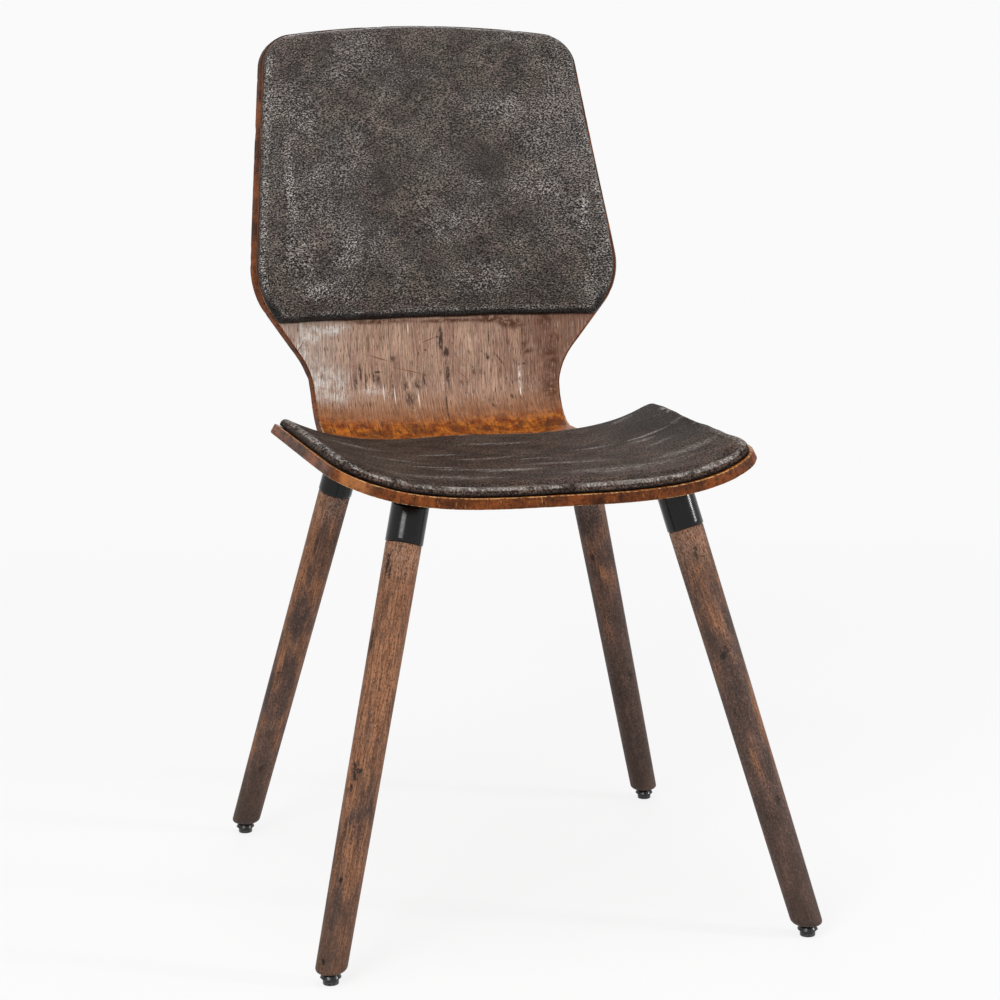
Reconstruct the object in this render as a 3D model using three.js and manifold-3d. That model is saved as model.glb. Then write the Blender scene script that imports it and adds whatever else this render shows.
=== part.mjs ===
// Side chair with a one-piece moulded plywood shell, glued leather pads and four splayed wooden legs.
// Millimetres, +Z up, front towards -Y. The origin is under the middle of the chair, on the floor.
import * as THREE from 'three';
import { mergeVertices } from 'three/addons/utils/BufferGeometryUtils.js';
import Module from 'manifold-3d';

const wasm = await Module();
wasm.setup();

// Fits
const GAP = 0.3;                    // gap between two pieces that touch
const PAD_GAP = 0.7;                // glue line under a leather pad

// Shell, seat part: lengths along the sheet are counted from the start of the bend, backwards
const PLY_THICKNESS = 10.2;
const SEAT_HEIGHT = 421;            // top of the sheet on the centre line
const SEAT_LENGTH = 427;            // front edge to the start of the bend
const SEAT_FRONT_HALF = 199.3;      // half-width just behind the front corners
const SEAT_BACK_HALF = 202.3;       // half-width at the back corners
const SEAT_BACK_CORNER = 83;        // back corners, ahead of the bend
const SEAT_BACK_RADIUS = 14;
const FRONT_CORNER_ALONG = 84.5;    // the front edge and its corners are half a superellipse
const FRONT_CORNER_POWER = 3.87;
const SEAT_DISH_FRONT = 29.2;       // rise of the sides at the reference half-width
const SEAT_DISH_BACK = 34;
const SEAT_DISH_POWER = 3.6;
const DISH_HALF = 199.3;            // half-width at which a dish has its stated rise

// Shell, bend and waist
const BEND_START_Y = 209.2;         // from the middle of the leg base
const BEND_RADIUS = 66.5;           // on the upper face
const WAIST_RECLINE = 7.5;          // degrees from upright
const WAIST_HALF_LOW = 132;
const WAIST_LOW = -68;              // where the wing edge would meet the waist edge
const WAIST_LOW_RADIUS = 56;
const WAIST_HALF_HIGH = 136;
const WAIST_HIGH = 105;
const WAIST_HIGH_RADIUS = 77;

// Shell, back part
const LUMBAR_START = 183;           // start of the gentle arc that leans the back further over
const LUMBAR_RADIUS = 600;
const BACK_RECLINE = 13.6;          // degrees from upright
const BACK_LOW_HALF = 199.3;
const BACK_LOW = 193;
const BACK_LOW_RADIUS = 73;
const BACK_TOP_HALF = 170.2;
const BACK_TOP = 462;
const BACK_TOP_RADIUS = 32;
const BACK_TOP_ARCH = 19.2;
const BACK_DISH_LOW = 42.3;
const BACK_DISH_TOP = 28.2;
const BACK_DISH_POWER = 2;
const DISH_CHANGE = 220;            // length over which the seat's dish turns into the back's

// Leather pads
const PAD_THICKNESS = 9.7;
const PAD_INSET = 2.5;
const PAD_ROLL = 6;                 // rounding of the upper rim
const SEAT_PAD_BACK = 82;           // back edge at the wings, ahead of the bend
const SEAT_PAD_BACK_RADIUS = 12;
const SEAT_PAD_TONGUE = 48;         // how far the back edge reaches on in the middle
const SEAT_PAD_TONGUE_HALF = 175;
const BACK_PAD_LOW = 157.5;
const BACK_PAD_LOW_HALF = 176;
const BACK_PAD_LOW_RADIUS = 9;
const BACK_PAD_LOW_BOW = 3.5;

// Legs, ferrules and levelling feet
const LEG_TOP_X = 134;              // shoulder under the ferrule
const LEG_TOP_Y = 164.5;
const FOOT_X = 225;
const FOOT_Y = 245;
const SHOULDER_DROP = 45;           // shoulder below the top of the seat sheet
const LEG_TOP_RADIUS = 16.5;
const LEG_FOOT_RADIUS = 14.2;
const LEG_END_INSET = 5.5;          // rounded lower end of a leg
const LEG_END_HEIGHT = 4.5;
const FERRULE_RADIUS = 17.3;
const FERRULE_WALL = 2.8;
const FERRULE_CAP = 8;
const STUD_RADIUS = 4;
const STUD_IN_LEG = 26;
const FOOT_HEIGHT = 11;
const FOOT_BASE_RADIUS = 7.2;
const FOOT_BASE_HEIGHT = 4;
const FOOT_HEX_RADIUS = 9.75;       // across the corners
const FOOT_HEX_HEIGHT = 7;          // height of the widest line
const STEM_RADIUS = 4;
const STEM_LENGTH = 25;
const STEM_IN_FOOT = 7.4;
const INSERT_RADIUS = 6.2;
const INSERT_LENGTH = 14;

// Under-seat bars and their screws
const BAR_HALF = 138;
const BAR_WIDTH = 58;
const BAR_SHIFT = 12;               // middle of a bar, from the ferrule tops towards the middle
const SCREW_SHIFT = 27;             // screws, from the ferrule tops towards the middle
const BAR_THICKNESS = 4;
const SCREW_PITCH = 70;
const SCREW_RADIUS = 3;
const SCREW_HEAD_RADIUS = 5.5;
const SCREW_HEAD_HEIGHT = 3.4;
const TEE_BARREL_RADIUS = 4.7;
const TEE_FLANGE_RADIUS = 9;
const TEE_FLANGE_THICKNESS = 1.4;
const TEE_SINK = 0.4;               // flange top under the face of the sheet

// Fineness of the meshes
const SHEET_COLUMNS = 18;
const ROUND_SIDES = 20;
const HOLE_SIDES = 12;

const UP = new THREE.Vector3(0, 0, 1);

const finish = {
  plywood: { color: 0x8a5a3c, roughness: 0.5, metalness: 0 },
  leather: { color: 0x46413e, roughness: 0.6, metalness: 0 },
  wood: { color: 0x7a6353, roughness: 0.6, metalness: 0 },
  steel: { color: 0x1b1c1d, roughness: 0.35, metalness: 0.3 },
  zinc: { color: 0x8d8f92, roughness: 0.4, metalness: 0.9 },
  plastic: { color: 0x101112, roughness: 0.25, metalness: 0 },
};

// Solids and booleans

function toSolid(geometry) {
  const bare = geometry.clone();
  bare.deleteAttribute('normal');
  bare.deleteAttribute('uv');
  const merged = mergeVertices(bare, 1e-4);
  return new wasm.Manifold(new wasm.Mesh({
    numProp: 3,
    vertProperties: new Float32Array(merged.attributes.position.array),
    triVerts: new Uint32Array(merged.index.array),
  }));
}

function toGeometry(solid) {
  const mesh = solid.getMesh();
  const geometry = new THREE.BufferGeometry();
  geometry.setAttribute('position', new THREE.BufferAttribute(new Float32Array(mesh.vertProperties), 3));
  geometry.setIndex(new THREE.BufferAttribute(new Uint32Array(mesh.triVerts), 1));
  geometry.computeVertexNormals();
  return geometry;
}

function subtract(geometry, ...cutters) {
  return toGeometry(cutters.reduce((left, cutter) => left.subtract(toSolid(cutter)), toSolid(geometry)));
}

// A turned solid about +Z from [radius, height] pairs that start and end on the axis, low end first
function turned(profile, sides = ROUND_SIDES) {
  const points = profile.map(([radius, height]) => new THREE.Vector2(radius, height));
  return new THREE.LatheGeometry(points, sides).rotateX(Math.PI / 2);
}

function rod(radius, low, high, sides = ROUND_SIDES) {
  return turned([[0, low], [radius, low], [radius, high], [0, high]], sides);
}

// Carries a solid built about +Z to a place with +Z along a direction
function placed(geometry, position, direction) {
  const turn = new THREE.Quaternion().setFromUnitVectors(UP, direction);
  return geometry.clone().applyQuaternion(turn).translate(position.x, position.y, position.z);
}

// The bent sheet: every point has a place across (x) and along (v), counted from the start of the bend

const BEND_ANGLE = Math.PI / 2 - THREE.MathUtils.degToRad(WAIST_RECLINE);
const LUMBAR_ANGLE = THREE.MathUtils.degToRad(BACK_RECLINE - WAIST_RECLINE);

function smooth(value) {
  const t = THREE.MathUtils.clamp(value, 0, 1);
  return t * t * (3 - 2 * t);
}

// Direction of the centre line and its normal, at an angle from the seat's
function heading(angle) {
  return {
    along: new THREE.Vector3(0, Math.cos(angle), Math.sin(angle)),
    normal: new THREE.Vector3(0, -Math.sin(angle), Math.cos(angle)),
  };
}

// Centre line of the upper face, with its normal, in the plane x = 0: the flat seat, the bend, the
// flat waist, the lumbar arc the other way and the flat back
function centreLine(v) {
  const lumbar = THREE.MathUtils.clamp((v - LUMBAR_START) / LUMBAR_RADIUS, 0, LUMBAR_ANGLE);
  const bend = heading(THREE.MathUtils.clamp(v / BEND_RADIUS, 0, BEND_ANGLE));
  const waist = heading(BEND_ANGLE);
  const back = heading(BEND_ANGLE - lumbar);
  const point = new THREE.Vector3(0, BEND_START_Y + Math.min(v, 0), SEAT_HEIGHT + BEND_RADIUS)
    .addScaledVector(bend.normal, -BEND_RADIUS)
    .addScaledVector(waist.along, Math.max(Math.min(v, LUMBAR_START) - BEND_ANGLE * BEND_RADIUS, 0))
    .addScaledVector(back.normal, LUMBAR_RADIUS)
    .addScaledVector(waist.normal, -LUMBAR_RADIUS)
    .addScaledVector(back.along, Math.max(v - LUMBAR_START - LUMBAR_ANGLE * LUMBAR_RADIUS, 0));
  return { point, normal: v < LUMBAR_START ? bend.normal : back.normal };
}

// Rise of the sheet above its centre line, and the slope of that rise across the sheet
function dish(x, v) {
  const change = smooth(v / DISH_CHANGE);
  const power = THREE.MathUtils.lerp(SEAT_DISH_POWER, BACK_DISH_POWER, change);
  const seat = THREE.MathUtils.lerp(SEAT_DISH_FRONT, SEAT_DISH_BACK, smooth(1 + v / SEAT_LENGTH));
  const backShare = THREE.MathUtils.clamp((v - DISH_CHANGE) / (BACK_TOP - DISH_CHANGE), 0, 1);
  const back = THREE.MathUtils.lerp(BACK_DISH_LOW, BACK_DISH_TOP, backShare);
  const rise = THREE.MathUtils.lerp(seat, back, change);
  const share = Math.abs(x) / DISH_HALF;
  return {
    height: rise * share ** power,
    slope: Math.sign(x) * rise * power * share ** (power - 1) / DISH_HALF,
  };
}

// A point at a distance above the upper face, along the sheet's own normal
function sheetPoint(x, v, offset) {
  const { point, normal } = centreLine(v);
  const { height, slope } = dish(x, v);
  const tilted = sheetNormal(normal, slope);
  return new THREE.Vector3(x, 0, 0).add(point).addScaledVector(normal, height).addScaledVector(tilted, offset);
}

function sheetNormal(normal, slope) {
  return new THREE.Vector3(-slope, normal.y, normal.z).normalize();
}

function normalAt(x, v) {
  return sheetNormal(centreLine(v).normal, dish(x, v).slope);
}

// Outlines in the flat sheet, as the right-hand half: [x, v] points with v rising all the way

// Rounds the inner corners of an open line. Each corner is [x, v, radius].
function rounded(corners, steps = 4) {
  const line = [new THREE.Vector2(corners[0][0], corners[0][1])];
  for (let i = 1; i < corners.length - 1; i += 1) {
    const [before, corner, after] = corners.slice(i - 1, i + 2).map(([x, v]) => new THREE.Vector2(x, v));
    const inward = before.clone().sub(corner).normalize();
    const outward = after.clone().sub(corner).normalize();
    const half = Math.acos(inward.dot(outward)) / 2;
    const reach = corners[i][2] / Math.tan(half);
    const centre = corner.clone().addScaledVector(inward.clone().add(outward).normalize(),
      corners[i][2] / Math.sin(half));
    const start = corner.clone().addScaledVector(inward, reach).sub(centre);
    const turn = start.angle() - corner.clone().addScaledVector(outward, reach).sub(centre).angle();
    const sweep = THREE.MathUtils.euclideanModulo(-turn + Math.PI, 2 * Math.PI) - Math.PI;
    for (let k = 0; k <= steps; k += 1) {
      line.push(start.clone().rotateAround(new THREE.Vector2(), sweep * k / steps).add(centre));
    }
  }
  const [x, v] = corners[corners.length - 1];
  line.push(new THREE.Vector2(x, v));
  return line;
}

// Front edge and corner, drawn in by an inset. The flat stretch around the middle is its first row.
function frontCorner(inset, steps = 8) {
  const power = 2 / FRONT_CORNER_POWER;
  const line = [];
  for (let k = 1; k <= steps; k += 1) {
    const angle = Math.PI / 2 * k / steps;
    line.push(new THREE.Vector2(
      (SEAT_FRONT_HALF - inset) * Math.sin(angle) ** power,
      -SEAT_LENGTH + FRONT_CORNER_ALONG - (FRONT_CORNER_ALONG - inset) * Math.max(Math.cos(angle), 0) ** power));
  }
  return line;
}

function backCorners(inset) {
  return [
    [BACK_LOW_HALF - inset, BACK_LOW, BACK_LOW_RADIUS - inset],
    [BACK_TOP_HALF - inset, BACK_TOP - inset, BACK_TOP_RADIUS - inset],
    [0, BACK_TOP - inset, 0],
  ];
}

const seatSide = frontCorner(0);
const shellOutline = [
  ...seatSide.slice(0, -1),
  ...rounded([
    [SEAT_FRONT_HALF, seatSide[seatSide.length - 1].y, 0],
    [SEAT_BACK_HALF, -SEAT_BACK_CORNER, SEAT_BACK_RADIUS],
    [WAIST_HALF_LOW, WAIST_LOW, WAIST_LOW_RADIUS],
    [WAIST_HALF_HIGH, WAIST_HIGH, WAIST_HIGH_RADIUS],
    ...backCorners(0),
  ]).slice(0, -1),
];

const padSide = frontCorner(PAD_INSET);
const seatPadOutline = [
  ...padSide.slice(0, -1),
  ...rounded([
    [SEAT_FRONT_HALF - PAD_INSET, padSide[padSide.length - 1].y, 0],
    [SEAT_BACK_HALF - PAD_INSET, -SEAT_BACK_CORNER - PAD_INSET, SEAT_BACK_RADIUS],
    [SEAT_BACK_HALF - PAD_INSET - 2 * SEAT_PAD_BACK_RADIUS, -SEAT_PAD_BACK - PAD_INSET, 0],
  ], 4),
];

// The back pad follows the shell's rim and ends below in a bowed edge
const rim = rounded([
  [WAIST_HALF_HIGH - PAD_INSET, WAIST_HIGH, 0],
  ...backCorners(PAD_INSET),
]).slice(0, -1);
const rimAboveCut = rim.filter((point) => point.y > BACK_PAD_LOW + BACK_PAD_LOW_RADIUS);
const backPadOutline = [
  ...rounded([
    [0, BACK_PAD_LOW, 0],
    [BACK_PAD_LOW_HALF, BACK_PAD_LOW, BACK_PAD_LOW_RADIUS],
    [rimAboveCut[0].x, rimAboveCut[0].y, 0],
  ], 3).slice(1, -1),
  ...rimAboveCut,
];

function halfWidth(outline, v) {
  const next = Math.max(outline.findIndex((point) => point.y >= v - 1e-9), 1);
  const [a, b] = [outline[next - 1], outline[next]];
  return THREE.MathUtils.mapLinear(THREE.MathUtils.clamp(v, a.y, b.y), a.y, b.y, a.x, b.x);
}

// Rows of a sheet: one at each outline point, with more where two lie far apart
function rowsOf(outline, longest) {
  const rows = [];
  for (let i = 0; i < outline.length - 1; i += 1) {
    const [from, to] = [outline[i].y, outline[i + 1].y];
    const parts = Math.ceil((to - from) / longest);
    for (let k = 0; k < parts; k += 1) rows.push(from + (to - from) * k / parts);
  }
  rows.push(outline[outline.length - 1].y);
  return rows.filter((v, i) => i === 0 || v - rows[i - 1] > 0.2);
}

// Shortest distance from a point in the flat sheet to an outline
function distanceTo(outline, x, v) {
  const point = new THREE.Vector3(Math.abs(x), v, 0);
  const nearest = new THREE.Vector3();
  let least = Infinity;
  for (let i = 0; i < outline.length - 1; i += 1) {
    const line = new THREE.Line3(
      new THREE.Vector3(outline[i].x, outline[i].y, 0), new THREE.Vector3(outline[i + 1].x, outline[i + 1].y, 0));
    least = Math.min(least, line.closestPointToPoint(point, true, nearest).distanceTo(point));
  }
  return least;
}

// A closed solid between two offsets of the sheet. columns are shares of the half-width from -1 to 1.
function sheetSolid({ outline, rows, columns, warp, under, over }) {
  const positions = [];
  const index = [];
  const across = columns.length;
  const vertex = (side, row, column) => (side * rows.length + row) * across + column;
  for (const offset of [under, over]) {
    for (const v of rows) {
      const half = halfWidth(outline, v);
      for (const share of columns) {
        const x = share * half;
        positions.push(...sheetPoint(x, v + warp(x, v), offset(x, v)).toArray());
      }
    }
  }
  const quad = (a, b, c, d) => index.push(a, b, c, a, c, d);
  for (let r = 0; r < rows.length - 1; r += 1) {
    for (let c = 0; c < across - 1; c += 1) {
      quad(vertex(1, r, c), vertex(1, r, c + 1), vertex(1, r + 1, c + 1), vertex(1, r + 1, c));
      quad(vertex(0, r, c), vertex(0, r + 1, c), vertex(0, r + 1, c + 1), vertex(0, r, c + 1));
    }
    const last = across - 1;
    quad(vertex(0, r, 0), vertex(1, r, 0), vertex(1, r + 1, 0), vertex(0, r + 1, 0));
    quad(vertex(0, r, last), vertex(0, r + 1, last), vertex(1, r + 1, last), vertex(1, r, last));
  }
  for (let c = 0; c < across - 1; c += 1) {
    const top = rows.length - 1;
    quad(vertex(0, 0, c), vertex(0, 0, c + 1), vertex(1, 0, c + 1), vertex(1, 0, c));
    quad(vertex(0, top, c), vertex(1, top, c), vertex(1, top, c + 1), vertex(0, top, c + 1));
  }
  const geometry = new THREE.BufferGeometry();
  geometry.setAttribute('position', new THREE.Float32BufferAttribute(positions, 3));
  geometry.setIndex(index);
  geometry.computeVertexNormals();
  return geometry;
}

// Columns as shares of the half-width. A power under 1 sets them closer towards the rims.
function columnShares(count, power) {
  return Array.from({ length: count + 1 }, (_, i) => {
    const share = 2 * i / count - 1;
    return Math.sign(share) * Math.abs(share) ** power;
  });
}

const sheetColumns = columnShares(SHEET_COLUMNS, 0.75);

// The top edge of the back is arched, fading out downwards
function archWarp(x, v) {
  return BACK_TOP_ARCH * smooth((v - BACK_LOW) / (BACK_TOP - BACK_LOW)) * (1 - (x / BACK_TOP_HALF) ** 2);
}

// Screw places: [x, v] of each screw of the front and the back bar
const ends = { front: -1, back: 1 };
const UNDERSIDE = -PLY_THICKNESS;
const BAR_TOP = UNDERSIDE - GAP;
const BAR_BOTTOM = BAR_TOP - BAR_THICKNESS;

// Rises of the underside of a bar above the leg shoulders, and the axis of a leg. The axis runs from
// the bottom of the leg, over the levelling foot, to the shoulder and on.
const SHOULDER_Z = SEAT_HEIGHT - SHOULDER_DROP;
const BAR_RISE = SHOULDER_DROP + BAR_BOTTOM - GAP;

function legAxis(sideX, sideY) {
  const foot = new THREE.Vector3(sideX * FOOT_X, sideY * FOOT_Y, FOOT_HEIGHT);
  const shoulder = new THREE.Vector3(sideX * LEG_TOP_X, sideY * LEG_TOP_Y, SHOULDER_Z);
  const direction = shoulder.clone().sub(foot).normalize();
  return { foot, shoulder, direction, length: shoulder.distanceTo(foot) };
}

// Distance of the ferrule tops from the middle of the leg base, along the chair
const { shoulder: firstShoulder, direction: firstDirection } = legAxis(1, 1);
const FERRULE_TOP_Y = firstShoulder.y + firstDirection.y / firstDirection.z * BAR_RISE;
const screwPlaces = Object.entries(ends).flatMap(([end, sideY]) => (
  [['left', -SCREW_PITCH], ['middle', 0], ['right', SCREW_PITCH]].map(([side, x]) => (
    { end, name: `${end}_${side}`, x, v: sideY * (FERRULE_TOP_Y - SCREW_SHIFT) - BEND_START_Y }))));

// Holds a solid built about +Z, with z = 0 on the upper face, to the sheet at a screw's place
function atScrew({ x, v }, geometry) {
  return placed(geometry, sheetPoint(x, v, 0), normalAt(x, v));
}

function plywoodShell() {
  const sheet = sheetSolid({
    outline: shellOutline,
    rows: rowsOf(shellOutline, 24),
    columns: sheetColumns,
    warp: archWarp,
    under: () => -PLY_THICKNESS,
    over: () => 0,
  });
  const flangeFloor = -TEE_SINK - TEE_FLANGE_THICKNESS - GAP;
  const hole = turned([
    [0, UNDERSIDE - 2], [TEE_BARREL_RADIUS + GAP, UNDERSIDE - 2], [TEE_BARREL_RADIUS + GAP, flangeFloor],
    [TEE_FLANGE_RADIUS + GAP, flangeFloor], [TEE_FLANGE_RADIUS + GAP, 2], [0, 2],
  ], HOLE_SIDES);
  return subtract(sheet, ...screwPlaces.map((place) => atScrew(place, hole)));
}

// Height of a pad's upper face over its lower one: full inside, rolled down at the rim
function rolled(outline, x, v) {
  const inside = Math.min(distanceTo(outline, x, v), PAD_ROLL);
  return PAD_GAP + PAD_THICKNESS - PAD_ROLL + Math.sqrt(PAD_ROLL ** 2 - (PAD_ROLL - inside) ** 2);
}

// Columns of a pad, closer at the rim where it is rolled
function padColumns(half) {
  const roll = [0, PAD_ROLL * 0.3, PAD_ROLL].map((inset) => 1 - inset / half);
  const inner = sheetColumns.filter((share) => Math.abs(share) < roll[2] - 0.02);
  return [...roll.map((share) => -share), ...inner, ...roll.reverse()];
}

function withRollRows(outline, rows) {
  const [low, high] = [rows[0], rows[rows.length - 1]];
  const extra = [low + PAD_ROLL * 0.3, low + PAD_ROLL, high - PAD_ROLL, high - PAD_ROLL * 0.3];
  const sorted = [...rows, ...extra].sort((a, b) => a - b);
  return sorted.filter((v, i) => i === 0 || v - sorted[i - 1] > 0.4 || v === high);
}

function leatherPad(outline, warp) {
  const rimLine = [
    new THREE.Vector2(0, outline[0].y), ...outline, new THREE.Vector2(0, outline[outline.length - 1].y)];
  return sheetSolid({
    outline,
    rows: withRollRows(outline, rowsOf(outline, 40)),
    columns: padColumns(Math.max(...outline.map((point) => point.x))),
    warp,
    under: () => PAD_GAP,
    over: (x, v) => rolled(rimLine, x, v),
  });
}

function seatPad() {
  const [front, back] = [seatPadOutline[0].y, seatPadOutline[seatPadOutline.length - 1].y];
  return leatherPad(seatPadOutline, (x, v) => {
    const reach = smooth(2 * (v - front) / (back - front) - 1);
    const share = Math.min(Math.abs(x) / SEAT_PAD_TONGUE_HALF, 1);
    return SEAT_PAD_TONGUE * reach * (1 + Math.cos(Math.PI * share)) / 2;
  });
}

function backPad() {
  return leatherPad(backPadOutline, (x, v) => {
    const nearLow = 1 - smooth((v - BACK_PAD_LOW) / (BACK_LOW - BACK_PAD_LOW + BACK_LOW_RADIUS));
    return archWarp(x, v) + BACK_PAD_LOW_BOW * nearLow * (1 - (x / BACK_PAD_LOW_HALF) ** 2);
  });
}

// Flat strip that follows the underside of the seat
function barStrip({ v, half, width, under, over, columns = sheetColumns }) {
  const outline = [new THREE.Vector2(half, v - width / 2), new THREE.Vector2(half, v + width / 2)];
  return sheetSolid({
    outline,
    rows: outline.map((point) => point.y),
    columns,
    warp: () => 0,
    under: () => under,
    over: () => over,
  });
}

function crossBar(end) {
  const v = ends[end] * (FERRULE_TOP_Y - BAR_SHIFT) - BEND_START_Y;
  const strip = barStrip({ v, half: BAR_HALF, width: BAR_WIDTH, under: BAR_BOTTOM, over: BAR_TOP });
  const hole = rod(SCREW_RADIUS + GAP, BAR_BOTTOM - 2, BAR_TOP + 2, HOLE_SIDES);
  return subtract(strip, ...screwPlaces.filter((place) => place.end === end).map((place) => atScrew(place, hole)));
}

function screw(place) {
  const seat = BAR_BOTTOM - GAP;
  const tip = -TEE_SINK - TEE_FLANGE_THICKNESS;
  return atScrew(place, turned([
    [0, seat - SCREW_HEAD_HEIGHT], [SCREW_HEAD_RADIUS * 0.55, seat - SCREW_HEAD_HEIGHT],
    [SCREW_HEAD_RADIUS * 0.9, seat - SCREW_HEAD_HEIGHT * 0.6], [SCREW_HEAD_RADIUS, seat],
    [SCREW_RADIUS, seat], [SCREW_RADIUS, tip], [0, tip],
  ], HOLE_SIDES));
}

function teeNut(place) {
  const flangeLow = -TEE_SINK - TEE_FLANGE_THICKNESS;
  const barrelLow = UNDERSIDE + 1;
  const body = turned([
    [0, barrelLow], [TEE_BARREL_RADIUS, barrelLow], [TEE_BARREL_RADIUS, flangeLow],
    [TEE_FLANGE_RADIUS, flangeLow], [TEE_FLANGE_RADIUS, -TEE_SINK], [0, -TEE_SINK],
  ], HOLE_SIDES);
  const bore = rod(SCREW_RADIUS + GAP, barrelLow - 1, 1, HOLE_SIDES);
  return atScrew(place, subtract(body, bore));
}

// Legs and ferrules

const TENON_RADIUS = FERRULE_RADIUS - FERRULE_WALL - GAP;

// Length of the ferrule along its axis, up to the bar
function ferruleLength(axis) {
  const x = axis.shoulder.x + axis.direction.x * BAR_RISE;
  const { height } = dish(x, axis.shoulder.y - BEND_START_Y);
  return (BAR_RISE + height) / axis.direction.z;
}

function ferrule(axis) {
  const length = ferruleLength(axis);
  const over = FERRULE_RADIUS;
  const tube = turned([
    [0, GAP], [FERRULE_RADIUS - 0.6, GAP], [FERRULE_RADIUS, GAP + 0.6],
    [FERRULE_RADIUS, length + over], [0, length + over],
  ]);
  const socket = rod(TENON_RADIUS + GAP, GAP - 5, length - FERRULE_CAP);
  const bore = rod(STUD_RADIUS + GAP, 0, length + over, HOLE_SIDES);
  const above = barStrip({
    v: axis.shoulder.y - BEND_START_Y,
    half: LEG_TOP_X + 2 * FERRULE_RADIUS,
    width: 4 * FERRULE_RADIUS,
    under: BAR_BOTTOM - GAP,
    over: BAR_BOTTOM + 3 * FERRULE_RADIUS,
    columns: columnShares(2 * SHEET_COLUMNS, 1),
  });
  return subtract(placed(subtract(tube, socket, bore), axis.shoulder, axis.direction), above);
}

function leg(axis, sideX, sideY) {
  const tenon = ferruleLength(axis) - FERRULE_CAP - GAP;
  const low = -axis.length - 2 * LEG_FOOT_RADIUS;
  const lowRadius = LEG_FOOT_RADIUS - (LEG_TOP_RADIUS - LEG_FOOT_RADIUS) * 2 * LEG_FOOT_RADIUS / axis.length;
  const turnedLeg = turned([
    [0, low], [lowRadius, low], [LEG_TOP_RADIUS, 0],
    [TENON_RADIUS, 0], [TENON_RADIUS, tenon - 1.5], [TENON_RADIUS - 1.5, tenon], [0, tenon],
  ]);
  const stretch = 1 / axis.direction.z;
  const endRadius = LEG_FOOT_RADIUS * (1 + stretch) / 2;
  const top = SHOULDER_Z + 2 * SHOULDER_DROP;
  const endShape = turned([
    [0, FOOT_HEIGHT], [endRadius - LEG_END_INSET, FOOT_HEIGHT],
    [endRadius - LEG_END_INSET * 0.35, FOOT_HEIGHT + LEG_END_HEIGHT * 0.3],
    [endRadius, FOOT_HEIGHT + LEG_END_HEIGHT],
    [endRadius + LEG_END_INSET, FOOT_HEIGHT + 2.6 * LEG_END_HEIGHT],
    [endRadius + top, FOOT_HEIGHT + 2.6 * LEG_END_HEIGHT + top], [0, FOOT_HEIGHT + 2.6 * LEG_END_HEIGHT + top],
  ]).translate(sideX * FOOT_X, sideY * FOOT_Y, 0);
  const body = toSolid(placed(turnedLeg, axis.shoulder, axis.direction)).intersect(toSolid(endShape));
  const studHole = placed(
    rod(STUD_RADIUS + GAP, tenon - STUD_IN_LEG - GAP, tenon + 5, HOLE_SIDES), axis.shoulder, axis.direction);
  const insertHole = turned([
    [0, 0], [INSERT_RADIUS + GAP, 0], [INSERT_RADIUS + GAP, FOOT_HEIGHT + INSERT_LENGTH + 2 * GAP],
    [STEM_RADIUS + GAP, FOOT_HEIGHT + INSERT_LENGTH + 2 * GAP],
    [STEM_RADIUS + GAP, STEM_TOP + GAP], [0, STEM_TOP + GAP],
  ], HOLE_SIDES).translate(sideX * FOOT_X, sideY * FOOT_Y, 0);
  return subtract(toGeometry(body), studHole, insertHole);
}

function legStud(axis) {
  const tenon = ferruleLength(axis) - FERRULE_CAP - GAP;
  const high = tenon + FERRULE_CAP * 0.6;
  return placed(rod(STUD_RADIUS, tenon - STUD_IN_LEG, high, HOLE_SIDES), axis.shoulder, axis.direction);
}

const STEM_LOW = FOOT_HEIGHT - STEM_IN_FOOT;
const STEM_TOP = STEM_LOW + STEM_LENGTH;

function insert() {
  const low = FOOT_HEIGHT + GAP;
  return subtract(
    rod(INSERT_RADIUS, low, low + INSERT_LENGTH, HOLE_SIDES),
    rod(STEM_RADIUS + GAP, low - 1, low + INSERT_LENGTH + 1, HOLE_SIDES));
}

function footStem() {
  return rod(STEM_RADIUS, STEM_LOW, STEM_TOP, HOLE_SIDES);
}

// Round base with a hexagon ring, its widest line part of the way up
function levellingFoot() {
  const top = FOOT_HEIGHT - GAP;
  const base = turned([
    [0, 0], [FOOT_BASE_RADIUS - 0.8, 0], [FOOT_BASE_RADIUS, 0.8], [FOOT_BASE_RADIUS, FOOT_BASE_HEIGHT + 0.5],
    [0, FOOT_BASE_HEIGHT + 0.5],
  ]);
  const hexagon = turned([
    [0, FOOT_BASE_HEIGHT], [FOOT_BASE_RADIUS, FOOT_BASE_HEIGHT], [FOOT_HEX_RADIUS, FOOT_HEX_HEIGHT],
    [FOOT_BASE_RADIUS, top], [0, top],
  ], 6);
  const bore = rod(STEM_RADIUS + GAP, STEM_LOW - GAP, FOOT_HEIGHT + 5, HOLE_SIDES);
  return toGeometry(toSolid(base).add(toSolid(hexagon)).subtract(toSolid(bore)));
}

// The chair

const chair = new THREE.Group();

function addPiece(parent, name, geometry, look) {
  const mesh = new THREE.Mesh(geometry, new THREE.MeshStandardMaterial(look));
  mesh.name = name;
  parent.add(mesh);
  return mesh;
}

addPiece(chair, 'plywood_shell', plywoodShell(), finish.plywood);
addPiece(chair, 'seat_pad', seatPad(), finish.leather);
addPiece(chair, 'back_pad', backPad(), finish.leather);
for (const end of Object.keys(ends)) addPiece(chair, `${end}_cross_bar`, crossBar(end), finish.steel);
for (const place of screwPlaces) {
  addPiece(chair, `bar_screw_${place.name}`, screw(place), finish.zinc);
  addPiece(chair, `tee_nut_${place.name}`, teeNut(place), finish.zinc);
}

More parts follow.
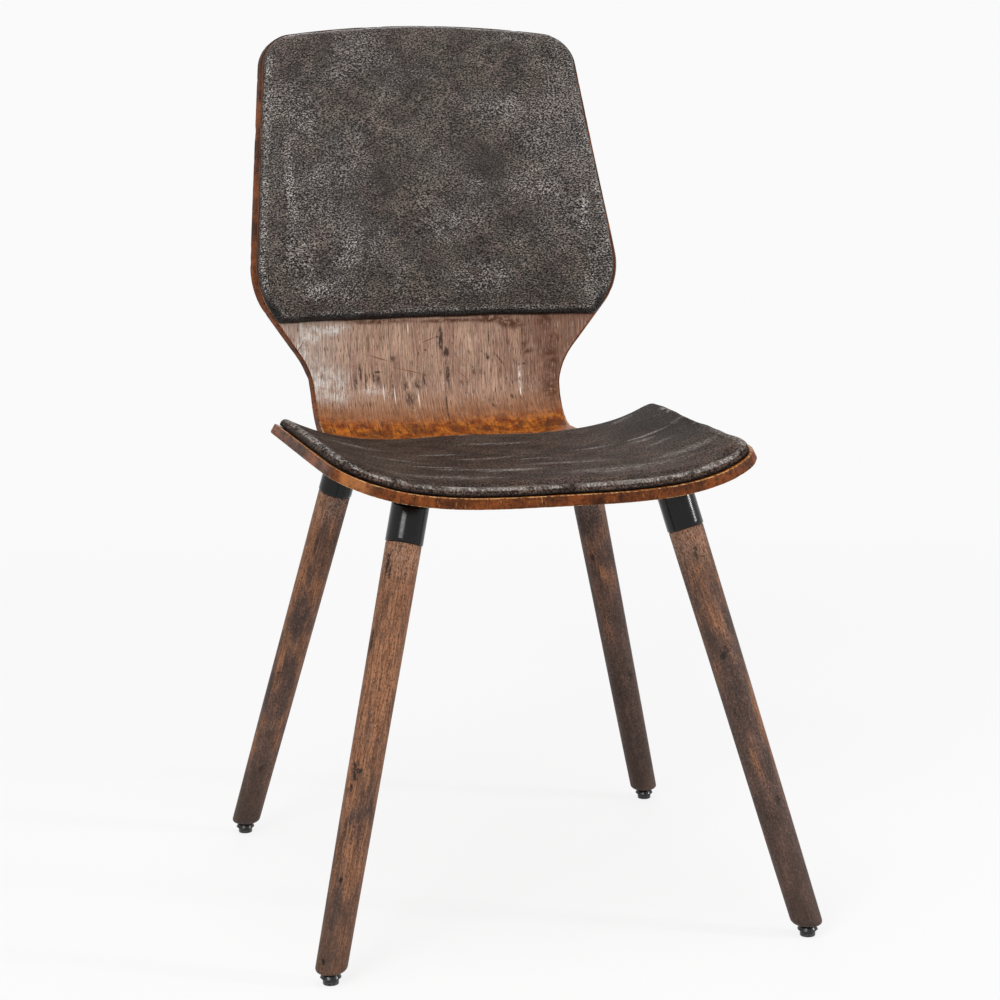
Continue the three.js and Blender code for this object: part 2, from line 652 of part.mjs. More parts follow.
const corners = [
  ['front_left', -1, -1], ['front_right', 1, -1], ['back_left', -1, 1], ['back_right', 1, 1],
];
for (const [name, sideX, sideY] of corners) {
  const axis = legAxis(sideX, sideY);
  addPiece(chair, `leg_${name}`, leg(axis, sideX, sideY), finish.wood);
  addPiece(chair, `ferrule_${name}`, ferrule(axis), finish.steel);
  addPiece(chair, `leg_stud_${name}`, legStud(axis), finish.zinc);
  const foot = new THREE.Group();
  foot.position.set(sideX * FOOT_X, sideY * FOOT_Y, 0);
  addPiece(foot, `foot_insert_${name}`, insert(), finish.zinc);
  addPiece(foot, `foot_stem_${name}`, footStem(), finish.zinc);
  addPiece(foot, `levelling_foot_${name}`, levellingFoot(), finish.plastic);
  chair.add(foot);
}

// The middle of the chair's depth stands over the origin
chair.updateMatrixWorld(true);
const box = new THREE.Box3().setFromObject(chair);
chair.position.y = -(box.min.y + box.max.y) / 2;

export default chair;
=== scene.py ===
"""A worn side chair: one moulded plywood sheet, two glued leather pads and four splayed wooden legs.

Metres, +Z up, the front of the seat towards -Y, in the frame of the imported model. The sheet is first
made flat, with places counted across it and along it, and is then bent to the chair's form.
"""
from __future__ import annotations

import logging
import math
from collections.abc import Callable, Sequence
from dataclasses import dataclass
from enum import Enum

import bmesh
import bpy
import numpy as np
from mathutils import Matrix, Vector, noise

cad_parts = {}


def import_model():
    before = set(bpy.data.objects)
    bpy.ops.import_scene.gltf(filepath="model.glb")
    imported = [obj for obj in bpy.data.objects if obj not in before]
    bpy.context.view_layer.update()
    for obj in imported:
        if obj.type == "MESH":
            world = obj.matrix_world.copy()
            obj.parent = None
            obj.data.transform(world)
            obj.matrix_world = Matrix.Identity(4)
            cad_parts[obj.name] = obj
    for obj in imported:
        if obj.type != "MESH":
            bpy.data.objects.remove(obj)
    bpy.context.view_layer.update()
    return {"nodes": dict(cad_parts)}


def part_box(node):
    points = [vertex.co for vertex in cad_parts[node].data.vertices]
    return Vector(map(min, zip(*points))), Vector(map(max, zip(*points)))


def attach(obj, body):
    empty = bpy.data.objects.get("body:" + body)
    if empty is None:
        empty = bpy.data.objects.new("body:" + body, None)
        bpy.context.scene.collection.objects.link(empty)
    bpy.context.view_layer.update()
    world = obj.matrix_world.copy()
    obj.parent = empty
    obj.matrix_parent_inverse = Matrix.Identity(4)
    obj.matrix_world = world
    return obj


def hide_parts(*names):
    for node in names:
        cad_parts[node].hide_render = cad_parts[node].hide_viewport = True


log = logging.getLogger("chair")

Socket = bpy.types.NodeSocket
Triple = tuple[float, float, float]

MM = 0.001
ROOT_BODY = "chair"


class Corner(Enum):
    """The four legs, by the signs of their places across and along the chair."""

    FRONT_LEFT = (-1, -1)
    FRONT_RIGHT = (1, -1)
    BACK_LEFT = (-1, 1)
    BACK_RIGHT = (1, 1)

    @property
    def label(self) -> str:
        """The corner's name as the nodes write it."""
        return self.name.lower()


class Slot(Enum):
    """The record's material slots."""

    PLYWOOD = "plywood"
    LEATHER = "leather"
    LEG_WOOD = "leg_wood"
    STEEL = "black_steel"
    ZINC = "zinc"
    PLASTIC = "black_plastic"


# Material nodes


def paint(red: float, green: float, blue: float) -> tuple[float, ...]:
    """Turns a colour of 0 to 255 as it shows on a screen into the linear colour that a shader takes.

    Args:
        red: Red, 0 to 255.
        green: Green, 0 to 255.
        blue: Blue, 0 to 255.

    Returns:
        Linear red, green and blue, and an alpha of 1.
    """
    linear = [c / 12.92 if c <= 0.04045 else ((c + 0.055) / 1.055) ** 2.4
              for c in (red / 255, green / 255, blue / 255)]
    return (linear[0], linear[1], linear[2], 1.0)


@dataclass(frozen=True)
class Blot:
    """One worn or stained place on flat coordinates.

    Its middle and its half-lengths are in millimetres, its turn in degrees, and soft is the share of
    it over which it fades out.
    """

    x: float
    v: float
    across: float
    along: float
    turn: float = 0.0
    soft: float = 1.0


class NodeTree:
    """The node tree of a material or a world, built a node at a time."""

    def __init__(self, owner: bpy.types.Material | bpy.types.World) -> None:
        """Clears the owner's tree.

        Args:
            owner: The material or world that the tree belongs to.
        """
        owner.use_nodes = True
        self.tree = owner.node_tree
        self.tree.nodes.clear()

    def node(self, kind: str, feeds: dict | None = None, **settings: object) -> bpy.types.Node:
        """Adds a node.

        Args:
            kind: The node's type name.
            feeds: Input names or numbers, each with a socket to link or a value to set.
            settings: Properties to set on the node.

        Returns:
            The new node.
        """
        made = self.tree.nodes.new(kind)
        for key, value in settings.items():
            setattr(made, key, value)
        for key, value in (feeds or {}).items():
            self.feed(made.inputs[key], value)
        return made

    def feed(self, socket: Socket, value: object) -> None:
        """Links a socket to an input, or sets the input's value.

        Args:
            socket: The input.
            value: A socket to link, or a value to set.
        """
        if isinstance(value, bpy.types.NodeSocket):
            self.tree.links.new(value, socket)
        else:
            socket.default_value = value

    def place(self) -> Socket:
        """Object coordinates."""
        return self.node("ShaderNodeTexCoord").outputs["Object"]

    def attribute(self, name: str) -> Socket:
        """A number that the mesh carries."""
        return self.node("ShaderNodeAttribute", attribute_name=name).outputs["Fac"]

    def attribute_vector(self, name: str) -> Socket:
        """A vector that the mesh carries."""
        return self.node("ShaderNodeAttribute", attribute_name=name).outputs["Vector"]

    def parts(self, vector: Socket) -> list[Socket]:
        """The three numbers of a vector."""
        return list(self.node("ShaderNodeSeparateXYZ", {0: vector}).outputs)

    def joined(self, x: object, y: object, z: object) -> Socket:
        """A vector of three numbers."""
        return self.node("ShaderNodeCombineXYZ", {0: x, 1: y, 2: z}).outputs[0]

    def slanted(self, vector: Socket, degrees: float,
                scale: Sequence[float]) -> Socket:
        """Turns coordinates about Z, then scales them along each axis.

        Args:
            vector: Coordinates.
            degrees: The turn.
            scale: Scale along each axis.

        Returns:
            The new coordinates.
        """
        turned = self.node("ShaderNodeMapping", {
            "Vector": vector, "Rotation": (0, 0, math.radians(degrees))}).outputs[0]
        return self.stretched(turned, scale)

    def stretched(self, vector: Socket, scale: Sequence[float]) -> Socket:
        """Scales coordinates along each axis."""
        return self.node("ShaderNodeMapping", {"Vector": vector, "Scale": scale}).outputs[0]

    def noise(self, vector: Socket, scale: float, detail: float = 3.0,
              roughness: float = 0.55, distortion: float = 0.0) -> Socket:
        """Noise of the given scale, 0 to 1.

        Args:
            vector: Coordinates.
            scale: Scale of the pattern.
            detail: Finer layers added.
            roughness: Strength of the finer layers.
            distortion: How far the pattern is warped.

        Returns:
            The pattern, 0 to 1.
        """
        return self.node("ShaderNodeTexNoise", {
            "Vector": vector, "Scale": scale, "Detail": detail, "Roughness": roughness,
            "Distortion": distortion}).outputs[0]

    def streaks(self, vector: Socket, scale: Sequence[float], detail: float = 4.0,
                roughness: float = 0.7, distortion: float = 0.0) -> Socket:
        """Noise with a scale of its own along each axis, 0 to 1."""
        return self.noise(self.stretched(vector, scale), 1.0, detail, roughness, distortion)

    def cells(self, vector: Socket, scale: float,
              feature: str = "F1") -> Socket:
        """Distance pattern of Voronoi cells."""
        return self.node("ShaderNodeTexVoronoi", {
            "Vector": vector, "Scale": scale}, feature=feature).outputs["Distance"]

    def band(self, value: Socket, low: float, high: float, start: float = 0.0,
             end: float = 1.0) -> Socket:
        """Smooth step from start to end as the value goes from low to high.

        Args:
            value: The value that is followed.
            low: Value at the start.
            high: Value at the end.
            start: Result at the low value.
            end: Result at the high value.

        Returns:
            The stepped value.
        """
        return self.node("ShaderNodeMapRange", {
            "Value": value, "From Min": low, "From Max": high, "To Min": start, "To Max": end},
            interpolation_type="SMOOTHSTEP").outputs[0]

    def blend(self, share: object, first: object, second: object) -> Socket:
        """Goes from the first value to the second as the share does from 0 to 1."""
        return self.node("ShaderNodeMix", {0: share, 2: first, 3: second}, data_type="FLOAT").outputs[0]

    def math(self, operation: str, *values: object) -> Socket:
        """Runs one arithmetic operation through several values, from the first to the last.

        Args:
            operation: The operation.
            values: Sockets or numbers.

        Returns:
            The last result.
        """
        result = values[0]
        for value in values[1:]:
            result = self.node("ShaderNodeMath", {0: result, 1: value}, operation=operation).outputs[0]
        return result

    def times(self, *values: object) -> Socket:
        """Product of values."""
        return self.math("MULTIPLY", *values)

    def total(self, *values: object) -> Socket:
        """Sum of values."""
        return self.math("ADD", *values)

    def union(self, *values: object) -> Socket:
        """Largest of several masks."""
        return self.math("MAXIMUM", *values)

    def mix(self, amount: object, base: object, other: object,
            blend: str = "MIX") -> Socket:
        """Mixes two colours."""
        return self.node("ShaderNodeMix", {0: amount, 6: base, 7: other}, data_type="RGBA",
                         blend_type=blend).outputs[2]

    def bump(self, height: Socket, distance: float, strength: float = 1.0,
             under: Socket | None = None) -> Socket:
        """A bumped normal, on top of another where one is given.

        Args:
            height: Heights of the bumps.
            distance: Depth of the bumps, in metres.
            strength: Share of the effect.
            under: A bumped normal to lie on.

        Returns:
            The normal.
        """
        feeds = {"Height": height, "Distance": distance, "Strength": strength}
        if under is not None:
            feeds["Normal"] = under
        return self.node("ShaderNodeBump", feeds).outputs[0]

    def spot(self, vector: Socket, blot: Blot) -> Socket:
        """Mask of one oval mark on flat coordinates: 1 in its middle, falling to 0 at its edge.

        Args:
            vector: Flat coordinates, in metres.
            blot: The mark.

        Returns:
            The mask.
        """
        local = self.node("ShaderNodeMapping", {
            "Vector": vector, "Location": (blot.x * MM, blot.v * MM, 0),
            "Rotation": (0, 0, math.radians(blot.turn)), "Scale": (blot.across * MM, blot.along * MM, 1)},
            vector_type="TEXTURE").outputs[0]
        fall = self.node("ShaderNodeTexGradient", {"Vector": local}, gradient_type="SPHERICAL")
        return self.band(fall.outputs["Fac"], 0.0, blot.soft)

    def blots(self, vector: Socket, blots: Sequence[Blot],
              ragged: object = 1.0) -> Socket:
        """Mask of several marks together, broken up by a pattern."""
        return self.times(self.union(*(self.spot(vector, blot) for blot in blots)), ragged)


class NodeBoard(NodeTree):
    """A material with one principled shader."""

    def __init__(self, name: str, roughness: float, specular: float = 0.5, metallic: float = 0.0) -> None:
        """Makes the material.

        Args:
            name: Name of the material.
            roughness: Roughness where no texture feeds it.
            specular: Specular level of the whole surface.
            metallic: 1 for bare metal.
        """
        self.material = bpy.data.materials.new(name)
        super().__init__(self.material)
        self.shader = self.node("ShaderNodeBsdfPrincipled", {
            "Roughness": roughness, "Specular IOR Level": specular, "Metallic": metallic})
        self.output = self.node("ShaderNodeOutputMaterial", {"Surface": self.shader.outputs["BSDF"]})

    def dress(self, name: str, value: object) -> None:
        """Feeds one input of the principled shader."""
        self.feed(self.shader.inputs[name], value)

    def coat(self, colour: object, mask: object, *rgb: float,
             amount: float = 1.0) -> Socket:
        """Lays a colour of 0 to 255 over another where a mask is, by no more than an amount."""
        return self.mix(mask if amount == 1.0 else self.times(mask, amount), colour, paint(*rgb))

    def shaded(self, colour: object, shade: Socket) -> Socket:
        """Darkens or lightens a colour by a number."""
        return self.mix(1.0, colour, self.joined(shade, shade, shade), "MULTIPLY")


# The bent sheet


def smooth_step(value: np.ndarray | float) -> np.ndarray:
    """Rises smoothly from 0 to 1 as the value does."""
    t = np.clip(value, 0.0, 1.0)
    return t * t * (3 - 2 * t)


@dataclass(frozen=True)
class SheetForm:
    """The moulded form of the plywood sheet, by places across (x) and along (v) the flat sheet.

    Lengths along the sheet are counted from the start of the bend, backwards.
    """

    base_y: float
    thickness: float = 10.2 * MM
    seat_height: float = 421 * MM
    seat_length: float = 427 * MM
    seat_dish_front: float = 29.2 * MM
    seat_dish_back: float = 34 * MM
    seat_dish_power: float = 3.6
    dish_half: float = 199.3 * MM
    bend_start: float = 209.2 * MM
    bend_radius: float = 66.5 * MM
    waist_recline: float = math.radians(7.5)
    lumbar_start: float = 183 * MM
    lumbar_radius: float = 600 * MM
    back_recline: float = math.radians(13.6)
    back_top: float = 462 * MM
    back_dish_low: float = 42.3 * MM
    back_dish_top: float = 28.2 * MM
    back_dish_power: float = 2.0
    dish_change: float = 220 * MM

    def heading(self, angle: np.ndarray) -> tuple[np.ndarray, np.ndarray]:
        """Directions along and square to the centre line, at angles from the seat's.

        Args:
            angle: Angles from the direction of the seat.

        Returns:
            The directions along it, and those square to it.
        """
        zero = np.zeros_like(angle)
        return (np.stack([zero, np.cos(angle), np.sin(angle)], -1),
                np.stack([zero, -np.sin(angle), np.cos(angle)], -1))

    def centre_line(self, v: np.ndarray) -> tuple[np.ndarray, np.ndarray]:
        """Points of the middle of the upper face.

        Args:
            v: Places along the sheet.

        Returns:
            The points, and the directions square to the sheet there.
        """
        bend_angle = math.pi / 2 - self.waist_recline
        lean = self.back_recline - self.waist_recline
        lumbar = np.clip((v - self.lumbar_start) / self.lumbar_radius, 0, lean)
        _, bend = self.heading(np.clip(v / self.bend_radius, 0, bend_angle))
        waist_along, waist = self.heading(np.full_like(v, bend_angle))
        back_along, back = self.heading(bend_angle - lumbar)
        start = np.zeros((len(v), 3))
        start[:, 1] = self.base_y + self.bend_start + np.minimum(v, 0)
        start[:, 2] = self.seat_height + self.bend_radius
        bend_end = bend_angle * self.bend_radius
        upright = np.maximum(np.minimum(v, self.lumbar_start) - bend_end, 0)
        beyond = np.maximum(v - self.lumbar_start - lean * self.lumbar_radius, 0)
        points = (start - bend * self.bend_radius + waist_along * upright[:, None]
                  + (back - waist) * self.lumbar_radius + back_along * beyond[:, None])
        return points, np.where((v < self.lumbar_start)[:, None], bend, back)

    def dish(self, x: np.ndarray, v: np.ndarray) -> tuple[np.ndarray, np.ndarray]:
        """Rise of the sheet above its middle, and the slope of that rise across it.

        Args:
            x: Places across the sheet.
            v: Places along the sheet.

        Returns:
            The rises and the slopes.
        """
        change = smooth_step(v / self.dish_change)
        power = self.seat_dish_power + (self.back_dish_power - self.seat_dish_power) * change
        seat = self.seat_dish_front + (self.seat_dish_back - self.seat_dish_front) * smooth_step(
            1 + v / self.seat_length)
        share = np.clip((v - self.dish_change) / (self.back_top - self.dish_change), 0, 1)
        back = self.back_dish_low + (self.back_dish_top - self.back_dish_low) * share
        rise = seat + (back - seat) * change
        out = np.maximum(np.abs(x) / self.dish_half, 1e-9)
        return rise * out ** power, np.sign(x) * rise * power * out ** (power - 1) / self.dish_half

    def points(self, x: np.ndarray, v: np.ndarray, offset: np.ndarray) -> np.ndarray:
        """Places in the chair for places on the flat sheet.

        Args:
            x: Places across the sheet.
            v: Places along the sheet.
            offset: Heights above the upper face, square to it.

        Returns:
            One point for each place.
        """
        middle, normal = self.centre_line(v)
        height, slope = self.dish(x, v)
        tilted = normal.copy()
        tilted[:, 0] -= slope
        tilted /= np.linalg.norm(tilted, axis=1)[:, None]
        bent = middle + normal * height[:, None] + tilted * offset[:, None]
        bent[:, 0] += x
        return bent

    def point(self, x: float, v: float, offset: float = 0.0) -> Vector:
        """One place in the chair for a place on the flat sheet."""
        return Vector(self.points(np.array([x]), np.array([v]), np.array([offset]))[0])


def rounded_line(corners: Sequence[Triple], steps: int = 12) -> np.ndarray:
    """Rounds the inner corners of an open line.

    Args:
        corners: Across, along and the radius of each corner.
        steps: Number of parts of each rounding.

    Returns:
        The points of the line.
    """
    line = [Vector(corners[0][:2])]
    for before, here, after in zip(corners, corners[1:], corners[2:]):
        corner = Vector(here[:2])
        inward = (Vector(before[:2]) - corner).normalized()
        outward = (Vector(after[:2]) - corner).normalized()
        half = inward.angle(outward) / 2
        centre = corner + (inward + outward).normalized() * here[2] / math.sin(half)
        start = (corner + inward * here[2] / math.tan(half) - centre).normalized()
        end = (corner + outward * here[2] / math.tan(half) - centre).normalized()
        line += [centre + start.slerp(end, k / steps) * here[2] for k in range(steps + 1)]
    line.append(Vector(corners[-1][:2]))
    return np.array([tuple(p) for p in line])


def run_lengths(line: np.ndarray) -> np.ndarray:
    """Length of a line from its first point to each of its points."""
    return np.concatenate([[0], np.cumsum(np.linalg.norm(np.diff(line, axis=0), axis=1))])


def resampled(line: np.ndarray, count: int) -> np.ndarray:
    """Even steps along a line, from its first point to its last.

    Args:
        line: The points of the line.
        count: Number of steps.

    Returns:
        The new points, one more than the steps.
    """
    length = run_lengths(line)
    at = np.linspace(0, length[-1], count + 1)
    return np.stack([np.interp(at, length, line[:, k]) for k in (0, 1)], -1)


@dataclass
class Outlines:
    """Flat outlines of the sheet and of the two pads, as their right-hand halves."""

    front_half: float = 199.3 * MM
    seat_length: float = 427 * MM
    front_corner: float = 84.5 * MM
    front_power: float = 3.87
    seat_back_half: float = 202.3 * MM
    seat_back_corner: float = 83 * MM
    seat_back_radius: float = 14 * MM
    waist: tuple[Triple, ...] = (
        (132 * MM, -68 * MM, 56 * MM), (136 * MM, 105 * MM, 77 * MM))
    back_low: Triple = (199.3 * MM, 193 * MM, 73 * MM)
    back_top: Triple = (170.2 * MM, 462 * MM, 32 * MM)
    top_arch: float = 19.2 * MM
    pad_inset: float = 2.5 * MM
    back_inset: float = 1.2 * MM
    seat_pad_back: float = 82 * MM
    tongue: float = 48 * MM
    tongue_half: float = 175 * MM
    back_pad_low: Triple = (176 * MM, 157.5 * MM, 9 * MM)
    back_pad_bow: float = 3.5 * MM

    def front(self, inset: float) -> np.ndarray:
        """Front edge and right front corner, from the middle outwards.

        Args:
            inset: How far it is drawn in.

        Returns:
            The points of the line.
        """
        angle = np.linspace(0, math.pi / 2, 60)
        power = 2 / self.front_power
        return np.stack([
            (self.front_half - inset) * np.sin(angle) ** power,
            self.front_corner - self.seat_length
            - (self.front_corner - inset) * np.maximum(np.cos(angle), 0) ** power], -1)

    def arched(self, line: np.ndarray) -> np.ndarray:
        """Lifts the top edge of the back into its arch, fading out downwards.

        Args:
            line: The points of the line.

        Returns:
            The points, lifted.
        """
        share = (line[:, 1] - self.back_low[1]) / (self.back_top[1] - self.back_low[1])
        lift = self.top_arch * smooth_step(share) * (1 - (line[:, 0] / self.back_top[0]) ** 2)
        return np.stack([line[:, 0], line[:, 1] + lift], -1)

    def topped(self, inset: float) -> tuple[Triple, ...]:
        """Corners of the back, drawn in by an inset, up to the middle of the top edge.

        Args:
            inset: How far it is drawn in.

        Returns:
            Across, along and the radius of each corner.
        """
        low, top = self.back_low, self.back_top
        return ((low[0] - inset, low[1], low[2] - inset),
                (top[0] - inset, top[1] - inset, top[2] - inset), (0.0, top[1] - inset, 0.0))

    def shell(self) -> np.ndarray:
        """Right half of the plywood sheet's outline, from the front to the top.

        Returns:
            The points of the line.
        """
        front = self.front(0)
        rest = rounded_line([
            (self.front_half, front[-1][1], 0),
            (self.seat_back_half, -self.seat_back_corner, self.seat_back_radius),
            *self.waist, *self.topped(0)], 24)
        straight = np.linspace(rest[-2], rest[-1], 40)[1:]
        return self.arched(np.vstack([front, rest[1:-1], straight]))

    def seat_pad(self) -> np.ndarray:
        """Right half of the seat pad's outline, from the front to the middle of its back edge.

        Returns:
            The points of the line.
        """
        front = self.front(self.pad_inset)
        half = self.seat_back_half - self.pad_inset
        back = -self.seat_pad_back - self.pad_inset
        inner = half - 24 * MM
        rest = rounded_line([
            (self.front_half - self.pad_inset, front[-1][1], 0),
            (half, -self.seat_back_corner - self.pad_inset, self.seat_back_radius),
            (inner, back, 0)], 24)
        x = np.linspace(inner, 0, 60)
        share = np.minimum(x / self.tongue_half, 1)
        tongue = np.stack([x, back + self.tongue * (1 + np.cos(math.pi * share)) / 2], -1)
        return np.vstack([front, rest[1:-1], tongue])

    def back_pad(self) -> np.ndarray:
        """Right half of the back pad's outline, from the middle of its low edge to the top.

        Returns:
            The points of the line.
        """
        low = self.back_pad_low
        rim = rounded_line([(self.waist[1][0] - self.back_inset, self.waist[1][1], 0),
                            *self.topped(self.back_inset)], 24)
        above = rim[rim[:, 1] > low[1] + low[2]]
        corner = rounded_line([(0, low[1], 0), low, (above[0][0], above[0][1], 0)], 12)
        x = np.linspace(0, corner[1][0], 40)[:-1]
        edge = np.stack([x, low[1] + self.back_pad_bow * (1 - (x / low[0]) ** 2)], -1)
        straight = np.linspace(above[-2], above[-1], 40)[1:]
        return self.arched(np.vstack([edge, corner[1:-1], above[:-1], straight]))


def quarter_round(radius: float, top: float, turns: Sequence[float]) -> list[tuple[float, float]]:
    """Inset and height along a quarter circle, from the top face to the wall, at shares of its turn."""
    angles = [turn * math.pi / 2 for turn in turns]
    return [(radius * (1 - math.sin(angle)), top - radius * (1 - math.cos(angle))) for angle in angles]


@dataclass
class Slab:
    """A closed slab that follows the bent sheet, made flat as a grid, walled and bridged, then bent.

    The rim's profile gives the inset from the outline and the height of each ring, from the upper
    face to the lower one.
    """

    name: str
    form: SheetForm
    half: np.ndarray
    corners: tuple[float, float]
    columns: int
    rows: int
    profile: Sequence[tuple[float, float]]
    rim_wear: Callable[[np.ndarray, np.ndarray], np.ndarray] | None = None
    relief: Callable[[np.ndarray, np.ndarray, np.ndarray], np.ndarray] | None = None

    def rings(self) -> np.ndarray:
        """The outline as one closed loop: front, right side, back, left side.

        Returns:
            The points of the loop.
        """
        length = run_lengths(self.half)
        first, second = (int(np.searchsorted(length, share)) for share in (
            self.corners[0], length[-1] - self.corners[1]))
        mirrored = self.half[::-1] * (-1, 1)
        front = resampled(np.vstack([mirrored[-first - 1:-1], self.half[:first + 1]]), self.columns)
        side = resampled(self.half[first:second + 1], self.rows)
        beyond = mirrored[1:len(self.half) - second]
        back = resampled(np.vstack([self.half[second:], beyond]), self.columns)
        return np.vstack([front[:-1], side[:-1], back[:-1], (side * (-1, 1))[::-1][:-1]])

    def outward(self, loop: np.ndarray) -> np.ndarray:
        """Directions out of a closed loop, one at each point.

        Args:
            loop: The points of the loop.

        Returns:
            Unit directions.
        """
        along = np.roll(loop, -1, 0) - np.roll(loop, 1, 0)
        along /= np.linalg.norm(along, axis=1)[:, None]
        return np.stack([along[:, 1], -along[:, 0]], -1)

    def patch(self, loop: np.ndarray, s: np.ndarray, t: np.ndarray) -> np.ndarray:
        """Flat places inside a loop for shares across and along it, held to its four sides.

        Args:
            loop: The points of the loop.
            s: Shares across, 0 to 1.
            t: Shares along, 0 to 1.

        Returns:
            The flat places.
        """
        n, m = self.columns, self.rows
        front = loop[:n + 1]
        right = loop[n:n + m + 1]
        back = loop[n + m:2 * n + m + 1][::-1]
        left = np.vstack([loop[2 * n + m:], loop[:1]])[::-1]
        column, row = np.rint(s * n).astype(int), np.rint(t * m).astype(int)
        s, t = s[:, None], t[:, None]
        edges = (1 - t) * front[column] + t * back[column] + (1 - s) * left[row] + s * right[row]
        held = ((1 - s) * (1 - t) * front[0] + s * (1 - t) * front[-1]
                + (1 - s) * t * back[0] + s * t * back[-1])
        return edges - held

    def flat_mesh(self) -> bpy.types.Mesh:
        """The slab as a flat grid with walls, each ring of the rim on a level of its own.

        Returns:
            The mesh, with each vertex's level and shares stored on it.
        """
        bm = bmesh.new()
        levels = bm.verts.layers.float.new("level")
        shares = bm.verts.layers.float_vector.new("shares")
        bmesh.ops.create_grid(bm, x_segments=self.columns, y_segments=self.rows, size=0.5)
        for vert in bm.verts:
            vert[shares] = vert.co + Vector((0.5, 0.5, 0))
            vert[levels] = -1
        lower = bmesh.ops.duplicate(bm, geom=bm.verts[:] + bm.edges[:] + bm.faces[:])["geom"]
        under_verts = only(lower, bmesh.types.BMVert)
        bmesh.ops.translate(bm, verts=under_verts, vec=(0, 0, -len(self.profile)))
        for vert in under_verts:
            vert[levels] = len(self.profile)
        bmesh.ops.reverse_faces(bm, faces=only(lower, bmesh.types.BMFace))
        low_loop = [e for e in bm.edges if e.is_boundary and e.verts[0][levels] > 0]
        loop = [e for e in bm.edges if e.is_boundary and e.verts[0][levels] < 0]
        for level in range(len(self.profile)):
            made = bmesh.ops.extrude_edge_only(bm, edges=loop)["geom"]
            verts = only(made, bmesh.types.BMVert)
            loop = [edge for edge in only(made, bmesh.types.BMEdge) if edge.is_boundary]
            for vert in verts:
                vert[levels] = level
            bmesh.ops.translate(bm, verts=verts, vec=(0, 0, -1))
        bmesh.ops.translate(bm, verts=under_verts, vec=(0, 0, -1))
        bmesh.ops.bridge_loops(bm, edges=loop + low_loop)
        bmesh.ops.recalc_face_normals(bm, faces=bm.faces)
        mesh = bpy.data.meshes.new(self.name)
        bm.to_mesh(mesh)
        bm.free()
        return mesh

    def build(self) -> bpy.types.Object:
        """Builds the slab, bends it to the sheet's form and stores its flat places on it.

        Returns:
            The new object. Its mesh carries the flat places as a UV map, the height over the upper
            face as "height" and the distance from the outline as "rim", all in metres.
        """
        mesh = self.flat_mesh()
        count = len(mesh.vertices)
        level = np.rint(carried(mesh, "level")).astype(int)
        s, t, _ = carried(mesh, "shares", "vector", 3).T
        loop = self.rings()
        normal = self.outward(loop)
        insets = [inset for inset, _ in self.profile]
        heights = [height for _, height in self.profile]
        inner = 2 * insets[0] - insets[1] if len(insets) > 1 else insets[0]
        inner = max(inner, insets[0] + 1.5 * MM)
        flat = np.zeros((count, 2))
        height = np.zeros(count)
        for side, inset, lift in ((-1, inner, heights[0]), (len(self.profile), inner, heights[-1])):
            chosen = level == side
            flat[chosen] = self.patch(loop - normal * inset, s[chosen], t[chosen])
            height[chosen] = lift
        n, m = self.columns, self.rows
        place = np.where(t < 1e-6, np.rint(s * n), np.where(
            s > 1 - 1e-6, n + np.rint(t * m), np.where(
                t > 1 - 1e-6, 2 * n + m - np.rint(s * n), 2 * n + 2 * m - np.rint(t * m))))
        place = place.astype(int) % len(loop)
        for k, (inset, lift) in enumerate(self.profile):
            chosen = level == k
            flat[chosen] = loop[place[chosen]] - normal[place[chosen]] * inset
            height[chosen] = lift
        rim = self.distance(loop, flat)
        if self.rim_wear is not None:
            walls = (level >= 0) & (level < len(self.profile))
            worn = self.rim_wear(flat, height)
            flat[walls] -= normal[place[walls]] * worn[walls, None]
        if self.relief is not None:
            height = height + self.relief(flat, height, rim)
        bent = self.form.points(flat[:, 0], flat[:, 1], height)
        mesh.vertices.foreach_set("co", bent.ravel())
        for name, values in (("height", height), ("rim", rim)):
            mesh.attributes.new(name, "FLOAT", "POINT").data.foreach_set("value", values)
        corner = np.zeros(len(mesh.loops), dtype=np.int32)
        mesh.loops.foreach_get("vertex_index", corner)
        mesh.uv_layers.new(name="flat").data.foreach_set("uv", flat[corner].ravel())
        mesh.attributes.remove(mesh.attributes["level"])
        mesh.attributes.remove(mesh.attributes["shares"])
        mesh.polygons.foreach_set("use_smooth", np.ones(len(mesh.polygons), dtype=bool))
        mesh.update()
        return linked(self.name, mesh)

    @staticmethod
    def distance(loop: np.ndarray, flat: np.ndarray) -> np.ndarray:
        """Distance from each flat place to the loop.

        Args:
            loop: The points of the loop.
            flat: Flat places.

        Returns:
            The distances.
        """
        least = np.full(len(flat), 1e9)
        for start in range(0, len(flat), 4000):
            part = flat[start:start + 4000]
            gap = part[:, None, :] - loop[None, :, :]
            least[start:start + 4000] = np.sqrt((gap ** 2).sum(-1)).min(1)
        return least


# Shared mesh work


def linked(name: str, mesh: bpy.types.Mesh) -> bpy.types.Object:
    """Makes an object of a mesh, at the origin, in the scene's collection.

    Args:
        name: Name of the new object.
        mesh: The mesh.

    Returns:
        The new object.
    """
    made = bpy.data.objects.new(name, mesh)
    bpy.context.scene.collection.objects.link(made)
    return made


def finished(name: str, bm: bmesh.types.BMesh) -> bpy.types.Object:
    """Turns a bmesh into a smooth object, and frees the bmesh.

    Args:
        name: Name of the new object.
        bm: The bmesh, which is freed.

    Returns:
        The new object.
    """
    bmesh.ops.recalc_face_normals(bm, faces=bm.faces)
    for face in bm.faces:
        face.smooth = True
    mesh = bpy.data.meshes.new(name)
    bm.to_mesh(mesh)
    bm.free()
    return linked(name, mesh)


